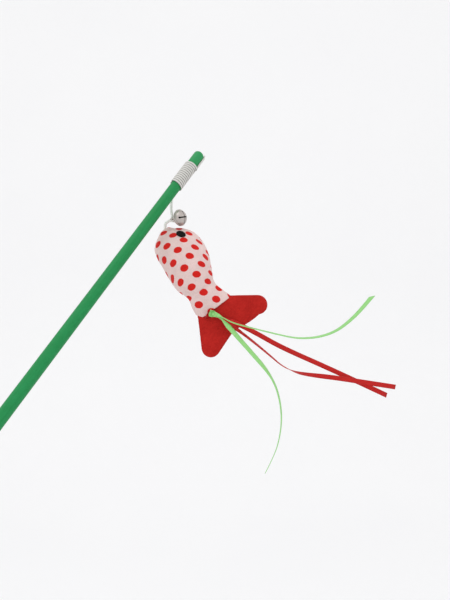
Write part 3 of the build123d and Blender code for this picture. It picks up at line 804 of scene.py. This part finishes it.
def paper_white():
    material, tree, shader = new_material("stage_white", 0.9, 0.1)
    set_colour(tree, shader, grain(tree, 3.0, 2.0), PAPER_SHADE, PAPER_PALE)
    return material


# Winding
def rod_radius(below_tip):
    """Half the rod's thickness, which tapers towards the domed tip."""
    taper = (GRIP_DIAMETER - TIP_DIAMETER) / (ROD_LENGTH - GRIP_LENGTH)
    above_dome = max(0.0, TIP_ROUND - below_tip)
    return (TIP_DIAMETER + taper * below_tip) / 2 - TIP_ROUND + math.sqrt(TIP_ROUND ** 2 - above_dome ** 2)


def round_rod(turn, below_tip, radius):
    angle = math.radians(turn)
    outward = rod_under * math.cos(angle) + rod_side * math.sin(angle)
    return rod_tip - rod_axis * below_tip + outward * radius


def winding_steps():
    """Turn, place below the tip and height along the cord: its laid end, its bend and its turns."""
    radius = rod_radius(WINDING_BELOW_TIP) + WOUND_HEIGHT / 2
    top = WINDING_BELOW_TIP + WOUND_WIDTH / 2
    laid = np.linspace(LAID_BELOW_TIP, top - LAID_BEND, LAID_STEPS, endpoint=False)
    steps = [(LAID_TURN, below, LAID_HEIGHT) for below in laid]
    for share in np.linspace(0, 1, BEND_STEPS, endpoint=False):
        swing = share * math.pi / 2
        turned = math.degrees(LAID_BEND * (1 - math.cos(swing)) / radius)
        height = LAID_HEIGHT + (WOUND_HEIGHT - LAID_HEIGHT) * share
        steps.append((LAID_TURN + turned, top - LAID_BEND * (1 - math.sin(swing)), height))
    start = LAID_TURN + math.degrees(LAID_BEND / radius)
    finish = EXIT_TURN + 360 * WINDING_TURNS
    foot = (rod_tip - swing_point).dot(rod_axis) + FOOT_BELOW_EXIT
    for share in np.linspace(0, 1, STEPS_PER_TURN * WINDING_TURNS + 1):
        turn = start + (finish - start) * share
        tilt = (TOP_TILT + (FOOT_TILT - TOP_TILT) * share) * math.cos(math.radians(turn - RIGHT_EDGE_TURN))
        steps.append((turn, top + (foot - top) * share + tilt, WOUND_HEIGHT))
    return steps, top


def wound_lift(turn, below, top):
    """How far a turn stands off: a little unevenness, and a hump over the laid end."""
    uneven = WOUND_UNEVENNESS * noise.noise(Vector((turn * 0.02, below / MM, 3.0)))
    off_laid = (turn - LAID_TURN + 180) % 360 - 180
    hump = LAID_HUMP * math.exp(-(off_laid / HUMP_SPREAD) ** 2) * math.exp(-max(0.0, below - top) / HUMP_FADE)
    return uneven + (hump if below >= top else 0.0)


def cord_winding():
    steps, top = winding_steps()
    path = []
    normals = []
    heights = [height for _, _, height in steps] + [WOUND_HEIGHT] * len(LEAD_OUT_SHARES)
    for turn, below, height in steps:
        radius = rod_radius(max(below, LAID_END_DEPTH)) + height / 2 + wound_lift(turn, below, top)
        path.append(round_rod(turn, below, radius))
        normals.append(round_rod(turn, below, 1.0) - round_rod(turn, below, 0.0))
    last, way = path[-1], swing_point - path[-1]
    for share in LEAD_OUT_SHARES:
        path.append(last + way * share)
        normals.append(normals[-1])
    sizes = rounded_ends(len(path))
    widening = len(LEAD_OUT_SHARES) + 1
    sizes[-widening:] = np.linspace(1.0, CORD_DIAMETER / WOUND_WIDTH, widening)
    widths = WOUND_WIDTH * sizes
    return tube_object("wound_cord", array(path), array(normals), widths, heights * sizes, sides=16)


# Free cord, with the hitches that hold the bell's loop
RING_CORD_ROUTE_MM = [
    (-0.9, 0.0, 9.6), (-1.0, 0.0, 6.0), (-0.6, 0.0, 3.2), (0.1, 0.0, 0.4),
    (-2.4, 0.7, -1.0), (-4.9, 1.5, -2.3), (-5.0, 1.9, -4.2),
]


def cord_route():
    """The hanging cord's control points, from the winding through the bell's loop into the nose."""
    route = [swing_point, sway_point + up * BEND_DROP, sway_point]
    for level, far, rise in RING_CORD_ROUTE_MM:
        route.append(ring_point + (fish_level * level + fish_far * far + up * rise) * MM)
    return route + [nod_point + fish_along * NOSE_ENTRY, nod_point + fish_along * CORD_END_DEPTH]


def hanging_cord():
    path = spline_points(cord_route(), resolution=16)
    sizes = CORD_DIAMETER * rounded_ends(len(path))
    return tube_object("hanging_cord", path, carried_normals(path, fish_far), sizes, sizes, sides=18), path


def ring_hitch(name, side):
    """A thin wrap round the cord, above or below the bell's loop."""
    points = []
    for angle in np.linspace(0, 2 * math.pi * HITCH_TURNS, HITCH_STEPS_PER_TURN * HITCH_TURNS + 1):
        rise = side * (HITCH_FROM_RING + HITCH_THREAD * HITCH_PITCH_SHARE * angle / (2 * math.pi))
        points.append(ring_point + up * rise + Vector((math.cos(angle), math.sin(angle), 0)) * HITCH_RADIUS)
    path = array(points)
    normals = path - np.array(ring_point)
    normals[:, 2] = 0
    sizes = HITCH_THREAD * rounded_ends(len(path))
    return tube_object(name, path, unit(normals), sizes, sizes, sides=10)


# Fish
def smooth_at(values, at):
    """A smooth curve through values at the stations, with each slope taken from the neighbours."""
    shares = np.array(STATION_SHARES)
    values = np.array(values)
    slopes = np.gradient(values, shares)
    index = np.clip(np.searchsorted(shares, at, side="right") - 1, 0, len(shares) - 2)
    span = shares[index + 1] - shares[index]
    t = (at - shares[index]) / span
    ends = (2 * t ** 3 - 3 * t ** 2 + 1) * values[index] + (3 * t ** 2 - 2 * t ** 3) * values[index + 1]
    rises = (t ** 3 - 2 * t ** 2 + t) * slopes[index] + (t ** 3 - t ** 2) * slopes[index + 1]
    return ends + rises * span


def fish_section(share):
    """Middle height, half height and half thickness of the body at a share of its length."""
    back = FISH_DEPTH * smooth_at(BACK_SHARES, share)
    belly = FISH_DEPTH * smooth_at(BELLY_SHARES, share)
    half = FISH_THICKNESS * smooth_at(HALF_THICKNESS_SHARES, share)
    return (back - belly) / 2, (back + belly) / 2, half


def hem_reach(share, round_share):
    """How far the cloth runs on past the sections towards its curved hem."""
    near = min(1.0, max(0.0, (share - HEM_START_SHARE) / (1 - HEM_START_SHARE)))
    belly_corner = HEM_BELLY_ROUND * max(0.0, -round_share) ** HEM_BELLY_POWER
    return (HEM_MIDDLE_REACH + HEM_TILT * round_share + belly_corner) * near ** 2


def fish_side(share, round_share, side):
    """A point of a side panel, and its place round the body in millimetres.

    round_share is -1 at the belly seam and 1 at the back seam.
    """
    middle, tall, half = fish_section(share)
    radius = (tall ** 2 + half ** 2) / (2 * half)
    centre = half - radius
    angle = math.atan2(tall, -centre) * round_share
    along = share * FISH_LENGTH + hem_reach(share, round_share)
    far = (centre + radius * math.cos(angle)) * SLACK_THICKNESS_SHARE
    local = (along, side * far, middle + radius * math.sin(angle))
    return local, (radius * angle + middle) / MM


def seam_tuck(share, round_share):
    """How far the cloth is drawn in at the seams' stitches, the waist's gathers and the nose's puckers."""
    stitches = 0.6 + 0.4 * math.cos(2 * math.pi * share * FISH_LENGTH / STITCH_STEP)
    tuck = math.exp(-((1 - abs(round_share)) / SEAM_SPREAD_SHARE) ** 2) * stitches
    waist = WAIST_GATHER_SHARE * math.exp(-((share - WAIST_SHARE) / WAIST_SPREAD_SHARE) ** 2)
    tuck += waist * (0.5 + 0.5 * math.sin(round_share * WAIST_GATHER_RADIANS + 1.3)) * abs(round_share)
    nose = math.exp(-(share / NOSE_SPREAD_SHARE) ** 2)
    return SEAM_TUCK * (tuck + nose * (0.5 + 0.5 * math.cos(round_share * NOSE_PUCKER_RADIANS)))


def fish_panels():
    """Both panels as rows of points round the body, with their places between the seams.

    Their UVs are in millimetres of the flat cloth, along the body and round it. The filling bends the print
    towards the seams, crowds it at the back, stretches it towards the tail and shifts it at the head.
    """
    rounds = np.linspace(-1, 1, SKIN_HALF_COLUMNS + 1)
    columns = [(-1, round_share) for round_share in rounds[:-1]]
    columns += [(1, round_share) for round_share in rounds[:0:-1]]
    shares = np.linspace(0, 1, SKIN_ROWS)
    rows = np.zeros((SKIN_ROWS, len(columns) + 1, 3))
    around = np.zeros((SKIN_ROWS, len(columns) + 1))
    for row, share in enumerate(shares):
        for column, (side, round_share) in enumerate(columns + [(1, -1.0)]):
            rows[row, column], around[row, column] = fish_side(share, round_share, side)
    middle = rows[:, SKIN_HALF_COLUMNS // 2]
    along = (lengths_along(middle)[:, None] + rows[:, :, 0] - middle[:, None, 0]) / MM
    bent_share = np.clip((PRINT_FLAT_MM - along) / (PRINT_FLAT_MM - PRINT_BENT_MM), 0.0, 1.0)
    printed = along - PRINT_BEND_PER_MM * bent_share * around ** 2
    printed *= 1 - PRINT_STRETCH_PER_MM * (along - PRINT_TRUE_MM)
    printed -= PRINT_HEAD_MM * np.exp(-(along / PRINT_HEAD_REACH_MM) ** 2)
    uv = np.stack([printed, around + PRINT_CROWD_PER_MM * around ** 2], axis=2)
    uv[:, SKIN_HALF_COLUMNS + 1:] += FAR_SIDE_DOT_SHIFT_MM
    return rows[:, :-1], uv, shares, columns


def stuffed(rows, uv):
    """The panels swollen by their filling: cloth under pressure, held along its seams, nose and hem.

    The cloth has Blender's own weight and stiffness. The swelling fades out towards the hem.
    """
    obj = grid_object("stuffing", rows * SIMULATION_SCALE, uv)
    count, columns = rows.shape[:2]
    held = obj.vertex_groups.new(name="held")
    index = np.arange(count * columns).reshape(count, columns)
    pinned = np.concatenate([
        index[:, 0], index[:, SKIN_HALF_COLUMNS], index[:2].ravel(), index[-2:].ravel(),
        [count * columns, count * columns + 1],
    ])
    held.add([int(vertex) for vertex in np.unique(pinned)], 1.0, "REPLACE")
    settings = obj.modifiers.new("filling", "CLOTH").settings
    settings.shrink_min = -SIMULATION_SPARE_SHARE
    settings.use_pressure = True
    settings.uniform_pressure_force = SIMULATION_PRESSURE
    settings.vertex_group_mass = "held"
    settings.effector_weights.gravity = 0.0
    scene = bpy.context.scene
    for step in range(1, SIMULATION_FRAMES + 1):
        scene.frame_set(step)
    mesh = evaluated_mesh(obj)
    swollen = array(vertex.co for vertex in mesh.vertices)[:count * columns].reshape(rows.shape)
    scene.frame_set(1)
    bpy.data.objects.remove(obj)
    bpy.data.meshes.remove(mesh)
    moves = swollen / SIMULATION_SCALE - rows
    lengths = np.linalg.norm(moves, axis=2, keepdims=True)
    near_hem = np.clip((np.linspace(0, 1, count) - SWELL_FADE_SHARES[0]) / np.ptp(SWELL_FADE_SHARES), 0, 1)
    kept = (1 - near_hem ** 2 * (3 - 2 * near_hem))[:, None, None]
    return rows + moves * kept * np.minimum(1.0, SWELL_CAP / np.maximum(lengths, 1e-9))


def outward_normals(rows):
    normals = unit(np.cross(np.roll(rows, -1, axis=1) - np.roll(rows, 1, axis=1), np.gradient(rows, axis=0)))
    sideways = rows * (0, 1, 0)
    return normals if (normals * sideways).sum() > 0 else -normals


def turned_hem(rows, uv):
    """Rows that turn the hem in round a soft edge and run back inside the body."""
    fray = np.array([noise.noise(Vector((column * 3.7, 0.5, 0.2))) for column in range(rows.shape[1])])
    hem = []
    hem_uv = []
    for inset, seam_share, beyond, frayed, rows_back in HEM_TURNS:
        ring = rows[-1 - rows_back].copy()
        inward = (ring.mean(axis=0) - ring) * (0, 1, 1)
        ring += unit(inward) * (1, 1, seam_share) * inset * MM
        ring[:, 0] += beyond * MM + HEM_FRAY * frayed * fray
        hem.append(ring)
        hem_uv.append(uv[-1] + (beyond + inset, 0))
    return np.concatenate([rows, hem]), np.concatenate([uv, hem_uv])


def fish_skin():
    """The sewn and stuffed cloth: both panels in one closed skin, its hem turned in at the tail."""
    rows, uv, shares, columns = fish_panels()
    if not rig.quick():
        rows = stuffed(rows, uv)
    normals = outward_normals(rows)
    for row, share in enumerate(shares):
        for column, (_, round_share) in enumerate(columns):
            rows[row, column] -= normals[row, column] * seam_tuck(share, round_share)
    hemmed, hemmed_uv = turned_hem(rows, uv)
    obj = grid_object("fish_skin", in_world(hemmed), hemmed_uv)
    obj.modifiers.new("smooth", "SUBSURF").levels = 1
    mesh = evaluated_mesh(obj)
    bpy.data.objects.remove(obj)
    places = array(vertex.co for vertex in mesh.vertices)
    outward = array(vertex.normal for vertex in mesh.vertices)
    pile = [sum(noise.noise(Vector(place) * scale) for scale in PILE_PER_MM) for place in places / MM]
    places += outward * PILE_HEIGHT * np.array(pile)[:, None]
    mesh.vertices.foreach_set("co", places.ravel())
    mesh.name = "fish_skin"
    return add_object("fish_skin", mesh), rows


def fish_eye(name, side, skin_rows):
    """A low domed oval button, set into the pile at the side of the head."""
    panel = slice(0, SKIN_HALF_COLUMNS) if side < 0 else slice(SKIN_HALF_COLUMNS, None)
    half, normals = skin_rows[:, panel], outward_normals(skin_rows)[:, panel]
    offsets = half[:, :, ::2] - (EYE_FROM_NOSE, EYE_ABOVE_AXIS)
    nearest = np.unravel_index(np.argmin((offsets ** 2).sum(axis=2)), offsets.shape[:2])
    outward = normals[nearest]
    seat = np.array((EYE_FROM_NOSE, half[nearest][1], EYE_ABOVE_AXIS))
    tilt = math.radians(EYE_TILT)
    rows = []
    uv = []
    for reach, rise in EYE_PROFILE_SHARES:
        ring = []
        for angle in np.linspace(0, 2 * math.pi, EYE_SIDES, endpoint=False):
            long, tall = EYE_LENGTH / 2 * reach * math.cos(angle), EYE_HEIGHT / 2 * reach * math.sin(angle)
            along = long * math.cos(tilt) - tall * math.sin(tilt)
            back = long * math.sin(tilt) + tall * math.cos(tilt)
            far = -(along * outward[0] + back * outward[2]) / outward[1]
            ring.append(seat + (along, far, back) + outward * EYE_RISE * rise)
        rows.append(ring)
        uv.append([(reach, angle) for angle in np.linspace(0, 2 * math.pi, EYE_SIDES + 1)])
    return grid_object(name, in_world(rows), np.array(uv))


# Felt tail: shares of its length beyond the flap's axis, and of its span
FIN_OUTLINE_SHARES = (
    ("line", (0.0, -0.275), (0.665, -0.443)),
    ("arc", (0.665, -0.443), (0.957, -0.412), (0.992, -0.296)),
    ("line", (0.992, -0.296), (0.716, 0.04)),
    ("arc", (0.716, 0.04), (0.762, 0.225), (0.735, 0.402)),
    ("arc", (0.735, 0.402), (0.591, 0.571), (0.3, 0.516)),
    ("line", (0.3, 0.516), (0.0, 0.28)),
)
FIN_ROOT_MM = ((0.0, 14.1), (-1.6, 11.6), (-4.0, 8.2), (-6.0, 7.4), (-6.0, -8.5), (-3.6, -12.6))


def arc_points(start, through, end, count):
    """Points on the circle through three points of a plane."""
    a, b, c = (complex(*point) for point in (start, through, end))
    w = (c - a) / (b - a)
    centre = (b - a) * (w - abs(w) ** 2) / (2j * w.imag) + a
    first, middle, last = (math.atan2((p - centre).imag, (p - centre).real) for p in (a, b, c))
    turn = (last - first) % (2 * math.pi)
    if (middle - first) % (2 * math.pi) > turn:
        turn -= 2 * math.pi
    spokes = [centre + abs(a - centre) * complex(math.cos(q), math.sin(q))
              for q in np.linspace(first, first + turn, count, endpoint=False)]
    return [(spoke.real, spoke.imag) for spoke in spokes]


def fin_outline():
    flap = FISH_LENGTH + TAIL_GAP + FELT / 2
    reach = TAIL_LENGTH - TAIL_GAP - FELT / 2
    points = []
    for kind, *shares in FIN_OUTLINE_SHARES:
        places = [(flap + share[0] * reach, share[1] * TAIL_SPAN) for share in shares]
        if kind == "arc":
            points += arc_points(*places, count=14)
        else:
            points += [tuple(point) for point in np.linspace(*places, num=8, endpoint=False)]
    return points + [(flap + along * MM, back * MM) for along, back in FIN_ROOT_MM]


def tail_felt():
    """The felt fin: a cut sheet with soft edges, a matted surface and a slight curl in each lobe."""
    curve = bpy.data.curves.new("fin", "CURVE")
    curve.dimensions = "2D"
    curve.fill_mode = "BOTH"
    curve.extrude = FELT / 2 - FELT_EDGE
    curve.bevel_depth = FELT_EDGE
    curve.bevel_resolution = 2
    curve.offset = -FELT_EDGE
    spline = curve.splines.new("POLY")
    outline = fin_outline()
    spline.points.add(len(outline) - 1)
    for control, (along, back) in zip(spline.points, outline):
        control.co = (along, back, 0, 1)
    spline.use_cyclic_u = True
    holder = linked("fin", curve)
    remesh = holder.modifiers.new("remesh", "REMESH")
    remesh.mode = "VOXEL"
    remesh.voxel_size = FELT_VOXEL
    mesh = evaluated_mesh(holder)
    bpy.data.objects.remove(holder)
    bpy.data.curves.remove(curve)
    for vertex in mesh.vertices:
        along, back, thick = vertex.co
        reach = max(0.0, along - FISH_LENGTH) / TAIL_LENGTH
        curl = TAIL_CURL * reach ** 2 * math.sin(back / TAIL_SPAN * CURL_RADIANS + CURL_PHASE_RADIANS)
        place = Vector((along, back, thick)) / MM
        rough = MM * sum(height * noise.noise(place * fineness) for height, fineness in FELT_WAVES_MM)
        free_share = min(1.0, max(0.0, (along - FISH_LENGTH + SEWN_FELT) / (2 * SEWN_FELT)))
        squeeze = SEWN_FELT_SHARE + (1 - SEWN_FELT_SHARE) * free_share
        far = thick * squeeze * (1 + rough / (FELT / 2)) + curl
        edge = rough * FELT_EDGE_WAVE_SHARE
        vertex.co = fish_place(along + edge, far, back + edge)
    return add_object("tail_felt", mesh)


# Ribbon tails by name: their order behind the felt, lean at the stitch, length and slant of the cut end
RIBBON_ORDER = ("red_upper", "red_lower", "green_lower", "green_upper")
RIBBON_LEANS = {"green_upper": 40.0, "green_lower": 34.0, "red_upper": 32.0, "red_lower": 26.0}
RIBBON_LENGTHS = {"green_upper": 0.1085, "green_lower": 0.1125, "red_upper": 0.1199, "red_lower": 0.1244}
RIBBON_SLANTS = {"green_upper": 0.0025, "green_lower": 0.0020, "red_upper": 0.0003, "red_lower": 0.0}
# Control points beyond the hem, up the tail and behind its mid-plane
RIBBON_ROUTES_MM = {
    "green_upper": [
        (14.4, 3.0, -7.5), (19.9, 7.8, -9.5), (26.9, 14.2, -10.5), (35.7, 22.5, -11.5),
        (42.8, 29.4, -12.5), (47.1, 35.3, -13.2), (51.3, 43.4, -14.0), (53.7, 53.2, -15.0),
        (53.0, 62.7, -16.0), (51.0, 72.4, -17.0), (47.1, 84.1, -18.0),
    ],
    "green_lower": [
        (12.0, -0.7, -5.2), (18.5, 0.4, -7.8), (27.6, 1.7, -9.8), (39.8, 3.5, -11.0),
        (50.9, 5.0, -12.0), (60.5, 4.7, -13.0), (70.2, 1.8, -14.0), (80.1, -3.4, -15.0),
        (88.4, -10.4, -16.0), (95.6, -18.9, -17.0), (101.6, -30.0, -17.5),
    ],
    "red_upper": [
        (18.5, 6.3, -1.6), (30.0, 12.8, -1.8), (45.7, 20.8, -2.2), (77.2, 41.3, -2.6), (107.9, 60.1, -3.0),
    ],
    "red_lower": [
        (20.7, 3.7, -4.2), (34.0, 8.3, -5.0), (46.5, 12.1, -5.4), (55.1, 14.5, -5.8), (63.0, 19.4, -6.2),
        (68.7, 25.5, -6.6), (79.5, 38.6, -7.2), (92.6, 53.2, -7.8), (104.5, 66.5, -8.4),
    ],
}
# Shares of the length, and the turn about it there
RIBBON_TWISTS = {
    "green_upper": [(0.0, 0.0), (0.03, 66.0), (0.07, 82.0), (0.45, 80.0), (0.75, 72.0), (1.0, 57.0)],
    "green_lower": [(0.0, 0.0), (0.12, 20.0), (0.22, 36.0), (0.36, 42.0), (0.47, 70.0), (1.0, 75.0)],
    "red_upper": [(0.0, 0.0), (0.3, 6.0), (1.0, 12.0)],
    "red_lower": [(0.0, 0.0), (0.16, 62.0), (0.36, 76.0), (0.45, 88.0), (0.52, 130.0), (0.64, 168.0)],
}
# Places along a tail, and its width there as a share of the full one
RIBBON_GATHER_MM = [(0.0, 0.82), (4.6, 0.34), (10.0, 1.0)]
# Each fold's reach past the stitch, fan as a share of the width, lift, and how far its end stands proud
FOLD_SHAPES = {"green": (0.0021, 1.3, 0.0, 0.0005), "red": (0.0030, 1.4, 0.0022, 0.0014)}


def ribbon_layer(tail):
    """Where a ribbon tail lies behind the felt's mid-plane at the stitch."""
    first = FELT / 2 + RIBBON_TO_FELT + RIBBON_THICKNESS / 2
    return -(first + RIBBON_LAYER * RIBBON_ORDER.index(tail))


def table_at(table, at):
    """Values between the places of a table of pairs."""
    return np.interp(at, *zip(*table))


def lean_way(lean):
    """The direction across the tail that leans this far from the fish's length towards its back."""
    return fish_along * math.cos(math.radians(lean)) + fish_back * math.sin(math.radians(lean))


def at_stitch(lean, reach, behind):
    return stitch_point + lean_way(lean) * reach + fish_far * behind


def ribbon_route(tail):
    layer, lean = ribbon_layer(tail), RIBBON_LEANS[tail]
    route = [at_stitch(lean, FOLD_LEG, layer), at_stitch(lean, FOLD_LEG + FOLD_LEAD, layer)]
    for along, back, behind in RIBBON_ROUTES_MM[tail]:
        route.append(fish_place(FISH_LENGTH + along * MM, behind * MM, back * MM))
    return route


def strip_object(name, path, across, normals, widths, shapes):
    """A flat woven strip along a path.

    At each place across it, shapes gives how far its face stands off and how far it slides along.
    """
    columns = np.linspace(-0.5, 0.5, shapes.shape[1])
    ways = tangents(path)
    along = lengths_along(path) / MM
    rows = []
    uv = []
    for index, point in enumerate(path):
        ring = []
        ring_uv = []
        for thick, order in ((-0.5, 1), (0.5, -1)):
            for wide, shape in list(zip(columns, shapes[index]))[::order]:
                off, slide = shape
                off += thick * RIBBON_THICKNESS
                place = point + across[index] * wide * widths[index]
                ring.append(place + normals[index] * off + ways[index] * slide)
                ring_uv.append((along[index], wide * RIBBON_WIDTH / MM))
        rows.append(ring)
        uv.append(ring_uv + ring_uv[:1])
    return grid_object(name, np.array(rows), np.array(uv))


def ribbon_tail(name, tail):
    """One tail of a ribbon, gathered at its start, turned about its length, with its end cut at a slant."""
    path = spline_points(ribbon_route(tail), resolution=10)
    along = lengths_along(path)
    turns = table_at(RIBBON_TWISTS[tail], along / along[-1])
    ways = tangents(path)
    face_across = unit(np.cross(ways, np.array(fish_far)))
    angles = np.radians(turns)[:, None]
    across = face_across * np.cos(angles) - np.cross(ways, face_across) * np.sin(angles)
    wide = np.linspace(-0.5, 0.5, RIBBON_COLUMNS)
    bow = RIBBON_BOW * (1 - (2 * wide) ** 2)
    near_end = np.maximum(0.0, 1 - (along[-1] - along) / SLANT_REACH)
    slide = -RIBBON_SLANTS[tail] * near_end[:, None] * (wide + 0.5)[None, :]
    shapes = np.stack([np.repeat(bow[None, :], len(path), axis=0), slide], axis=2)
    widths = RIBBON_WIDTH * table_at(RIBBON_GATHER_MM, along / MM)
    strip = strip_object(name, path, across, np.cross(ways, across), widths, shapes)
    return strip, path


def ribbon_fold(name, colour):
    """The gathered end of a folded ribbon, bent back on itself, fanned, rounded and pleated at the stitch."""
    tails = [tail for tail in RIBBON_ORDER if tail.startswith(colour)]
    rear, front = (ribbon_layer(tail) for tail in tails)
    rear_lean, front_lean = (RIBBON_LEANS[tail] for tail in tails)
    reach, fan, lift, proud = FOLD_SHAPES[colour]
    leg_shares = np.linspace(0, 1, FOLD_STEPS, endpoint=False)
    places = [(FOLD_LEG + (-reach - FOLD_LEG) * share, front) for share in leg_shares]
    for angle in np.linspace(0, math.pi, FOLD_BEND_STEPS, endpoint=False):
        bend = (front + rear) / 2 + math.cos(angle) * (front - rear) / 2
        places.append((-reach - math.sin(angle) * RIBBON_LAYER / 2, bend))
    leg_shares = np.linspace(0, 1, FOLD_STEPS + 1)
    places += [(-reach + (FOLD_LEG + reach) * share, rear) for share in leg_shares]
    leans = np.linspace(front_lean, rear_lean, len(places))
    back_of = np.array([max(0.0, -along) / reach for along, _ in places])
    before_leg = np.array([min(1.0, 1 - along / FOLD_LEG) for along, _ in places])
    points = []
    across = []
    for (along, behind), lean, back in zip(places, leans, back_of):
        across.append(lean_way(lean).cross(fish_far))
        points.append(at_stitch(lean, along, behind - proud * back ** 2) - across[-1] * lift * back ** 1.5)
    path, across = array(points), array(across)
    ways = tangents(path)
    wide = np.linspace(-0.5, 0.5, FOLD_COLUMNS)
    gather = np.array([math.exp(-(along / PLEAT_REACH) ** 2) for along, _ in places])
    pleats = PLEAT_HEIGHT * gather[:, None] * np.cos(wide * PLEAT_RADIANS)[None, :]
    facing = np.sign([way.dot(np.array(lean_way(lean))) for way, lean in zip(ways, leans)])
    round_end = FOLD_ROUND * (back_of * facing)[:, None] * (2 * wide[None, :]) ** 2
    gathered = RIBBON_GATHER_MM[0][1]
    widths = RIBBON_WIDTH * (gathered + (fan - gathered) * before_leg)
    shapes = np.stack([pleats, round_end], axis=2)
    return strip_object(name, path, across, np.cross(ways, across), widths, shapes)


# Stage
def stage():
    """A pale sweep: a floor that bends up into a backdrop."""
    heading = math.radians(CAMERA_HEADING)
    forward = Vector((-math.sin(heading), math.cos(heading), 0))
    right = Vector((math.cos(heading), math.sin(heading), 0))
    floor_z = cad_box[0][2] - FLOOR_DROP
    profile = [(-FLOOR_REACH, 0), (0, 0)]
    for angle in np.linspace(0, math.pi / 2, BACKDROP_STEPS):
        depth = BACKDROP_DISTANCE - BACKDROP_BEND + BACKDROP_BEND * math.sin(angle)
        profile.append((depth, BACKDROP_BEND * (1 - math.cos(angle))))
    profile.append((BACKDROP_DISTANCE, BACKDROP_HEIGHT))
    rows = []
    for depth, height in profile:
        line = forward * depth + up * (floor_z + height)
        rows.append([tuple(line + right * side * FLOOR_REACH) for side in (-1, 1)])
    sweep = grid_object("stage_sweep", np.array(rows), np.zeros((len(rows), 2, 2)), wrap=False)
    wear(sweep, paper_white())
    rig.stage(sweep)


def studio_light():
    """An even white surround and one soft key light."""
    world = bpy.data.worlds.new("studio")
    world.use_nodes = True
    background = world.node_tree.nodes["Background"].inputs
    background["Color"].default_value = (1.0, 1.0, 1.0, 1)
    background["Strength"].default_value = WORLD_STRENGTH
    bpy.context.scene.world = world
    bpy.context.scene.view_settings.view_transform = "Standard"
    light = bpy.data.lights.new("key", "AREA")
    light.shape = "SQUARE"
    light.size = KEY_SIZE
    light.energy = KEY_POWER
    holder = linked("key", light)
    holder.location = KEY_PLACE
    holder.rotation_euler = (ring_point - Vector(KEY_PLACE)).to_track_quat("-Z", "Y").to_euler()


def level_camera():
    camera = bpy.data.cameras.new("camera")
    camera.lens = CAMERA_LENS_MM
    camera.sensor_fit = "VERTICAL"
    camera.sensor_height = CAMERA_LONG_SIDE_MM
    camera.clip_start = CAMERA_CLIP_START
    holder = linked("camera", camera)
    holder.location = CAMERA_PLACE
    holder.rotation_euler = (math.radians(90), 0, math.radians(CAMERA_HEADING))
    bpy.context.scene.camera = holder


# Assembly
def add_piece(obj, material, body, slot, *nodes):
    """Dresses a piece, lets it ride on a body and puts it in place of the CAD nodes named."""
    wear(obj, material)
    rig.ride(obj, body)
    if nodes:
        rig.replaces(obj, *nodes)
    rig.slot(obj, slot)


stage()
studio_light()
level_camera()

bell_metal = nickel("bell_nickel", NICKEL_PALE, NICKEL_SHADE)
wear(frame["nodes"]["rod"], rod_plastic())
for name in ("bell_loop", "bell_upper_shell", "bell_lower_shell"):
    wear(frame["nodes"][name], bell_metal)
wear(frame["nodes"]["bell_pellet"], nickel("pellet_steel", STEEL_PALE, STEEL_SHADE))

wound_elastic = elastic_cloth(
    "wound_elastic", WOUND_SHADE, WOUND_PALE, WOUND_WIDTH / MM, GROOVE_SHADE_SHARE, GROOVE_SHADE_START_MM
)
add_piece(cord_winding(), wound_elastic, "wand", "cord", "cord_winding")
elastic = elastic_cloth("free_elastic", CORD_SHADE, CORD_PALE, CORD_DIAMETER / MM)
cord, cord_path = hanging_cord()
wear(cord, elastic)
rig.blend(cord, "cord_turn", "cord", start=sway_point + up * 1.2 * MM, end=sway_point - up * 1.2 * MM)
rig.replaces(cord, "cord_bend", "cord_upper", "cord_lower", "nose_cord", "nose_knot")
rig.slot(cord, "cord")
hitches = [ring_hitch("hitch_above", 1), ring_hitch("hitch_below", -1)]
add_piece(hitches[0], elastic, "cord", "cord", "bell_knot")
add_piece(hitches[1], elastic, "cord", "cord")
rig.cord(
    cord, exit=swing_point, length=CORD_LENGTH, diameter=CORD_DIAMETER, far_end="object", stiffness="limp",
    lay="hanging", path=cord_path, with_pieces=hitches,
)

skin, skin_rows = fish_skin()
flap_start = fish_place(FISH_LENGTH - FLAP_BEND_START, 0, 0)
flap_end = fish_place(FISH_LENGTH - FLAP_BEND_END, 0, 0)
wear(skin, dotted_cloth())
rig.blend(skin, "fish", "tail", start=flap_start, end=flap_end)
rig.slot(skin, "fish_cloth")
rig.replaces(skin, "fish_left_panel", "fish_right_panel", "fish_stuffing", "tail_root")
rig.padded(skin, fill=0.85)
black = eye_black()
for name, side in (("left_eye", -1), ("right_eye", 1)):
    add_piece(fish_eye(name, side, skin_rows), black, "fish", "eye", "fish_" + name)

fin = tail_felt()
wear(fin, red_felt())
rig.blend(fin, "fish", "tail", start=flap_start, end=flap_end)
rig.replaces(fin, "tail_fin")
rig.slot(fin, "felt")

satins = {
    "green": satin_ribbon("green_satin", GREEN_SATIN_PALE, GREEN_SATIN_SHADE),
    "red": satin_ribbon("red_satin", RED_SATIN_PALE, RED_SATIN_SHADE),
}
wear(frame["nodes"]["ribbon_stitch"], satins["green"])
folds = {colour: ribbon_fold(colour + "_ribbon_bend", colour) for colour in satins}
for colour, satin in satins.items():
    body = colour + "_ribbon"
    add_piece(folds[colour], satin, body, body, body + "_fold")
    for place in ("upper", "lower"):
        length = RIBBON_LENGTHS[colour + "_" + place]
        tail, path = ribbon_tail(body + "_tail_" + place, colour + "_" + place)
        add_piece(tail, satin, body, body, body + "_" + place)
        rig.cord(
            tail, exit=path[0], length=length, diameter=RIBBON_WIDTH, far_end="bare", stiffness="limp",
            lay="loose", path=path,
        )

with open("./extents.json", "w") as sizes:
    boxes = {"cad": cad_box, "visual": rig.bounds()}
    json.dump({name: [list(map(float, corner)) for corner in box] for name, box in boxes.items()}, sizes)
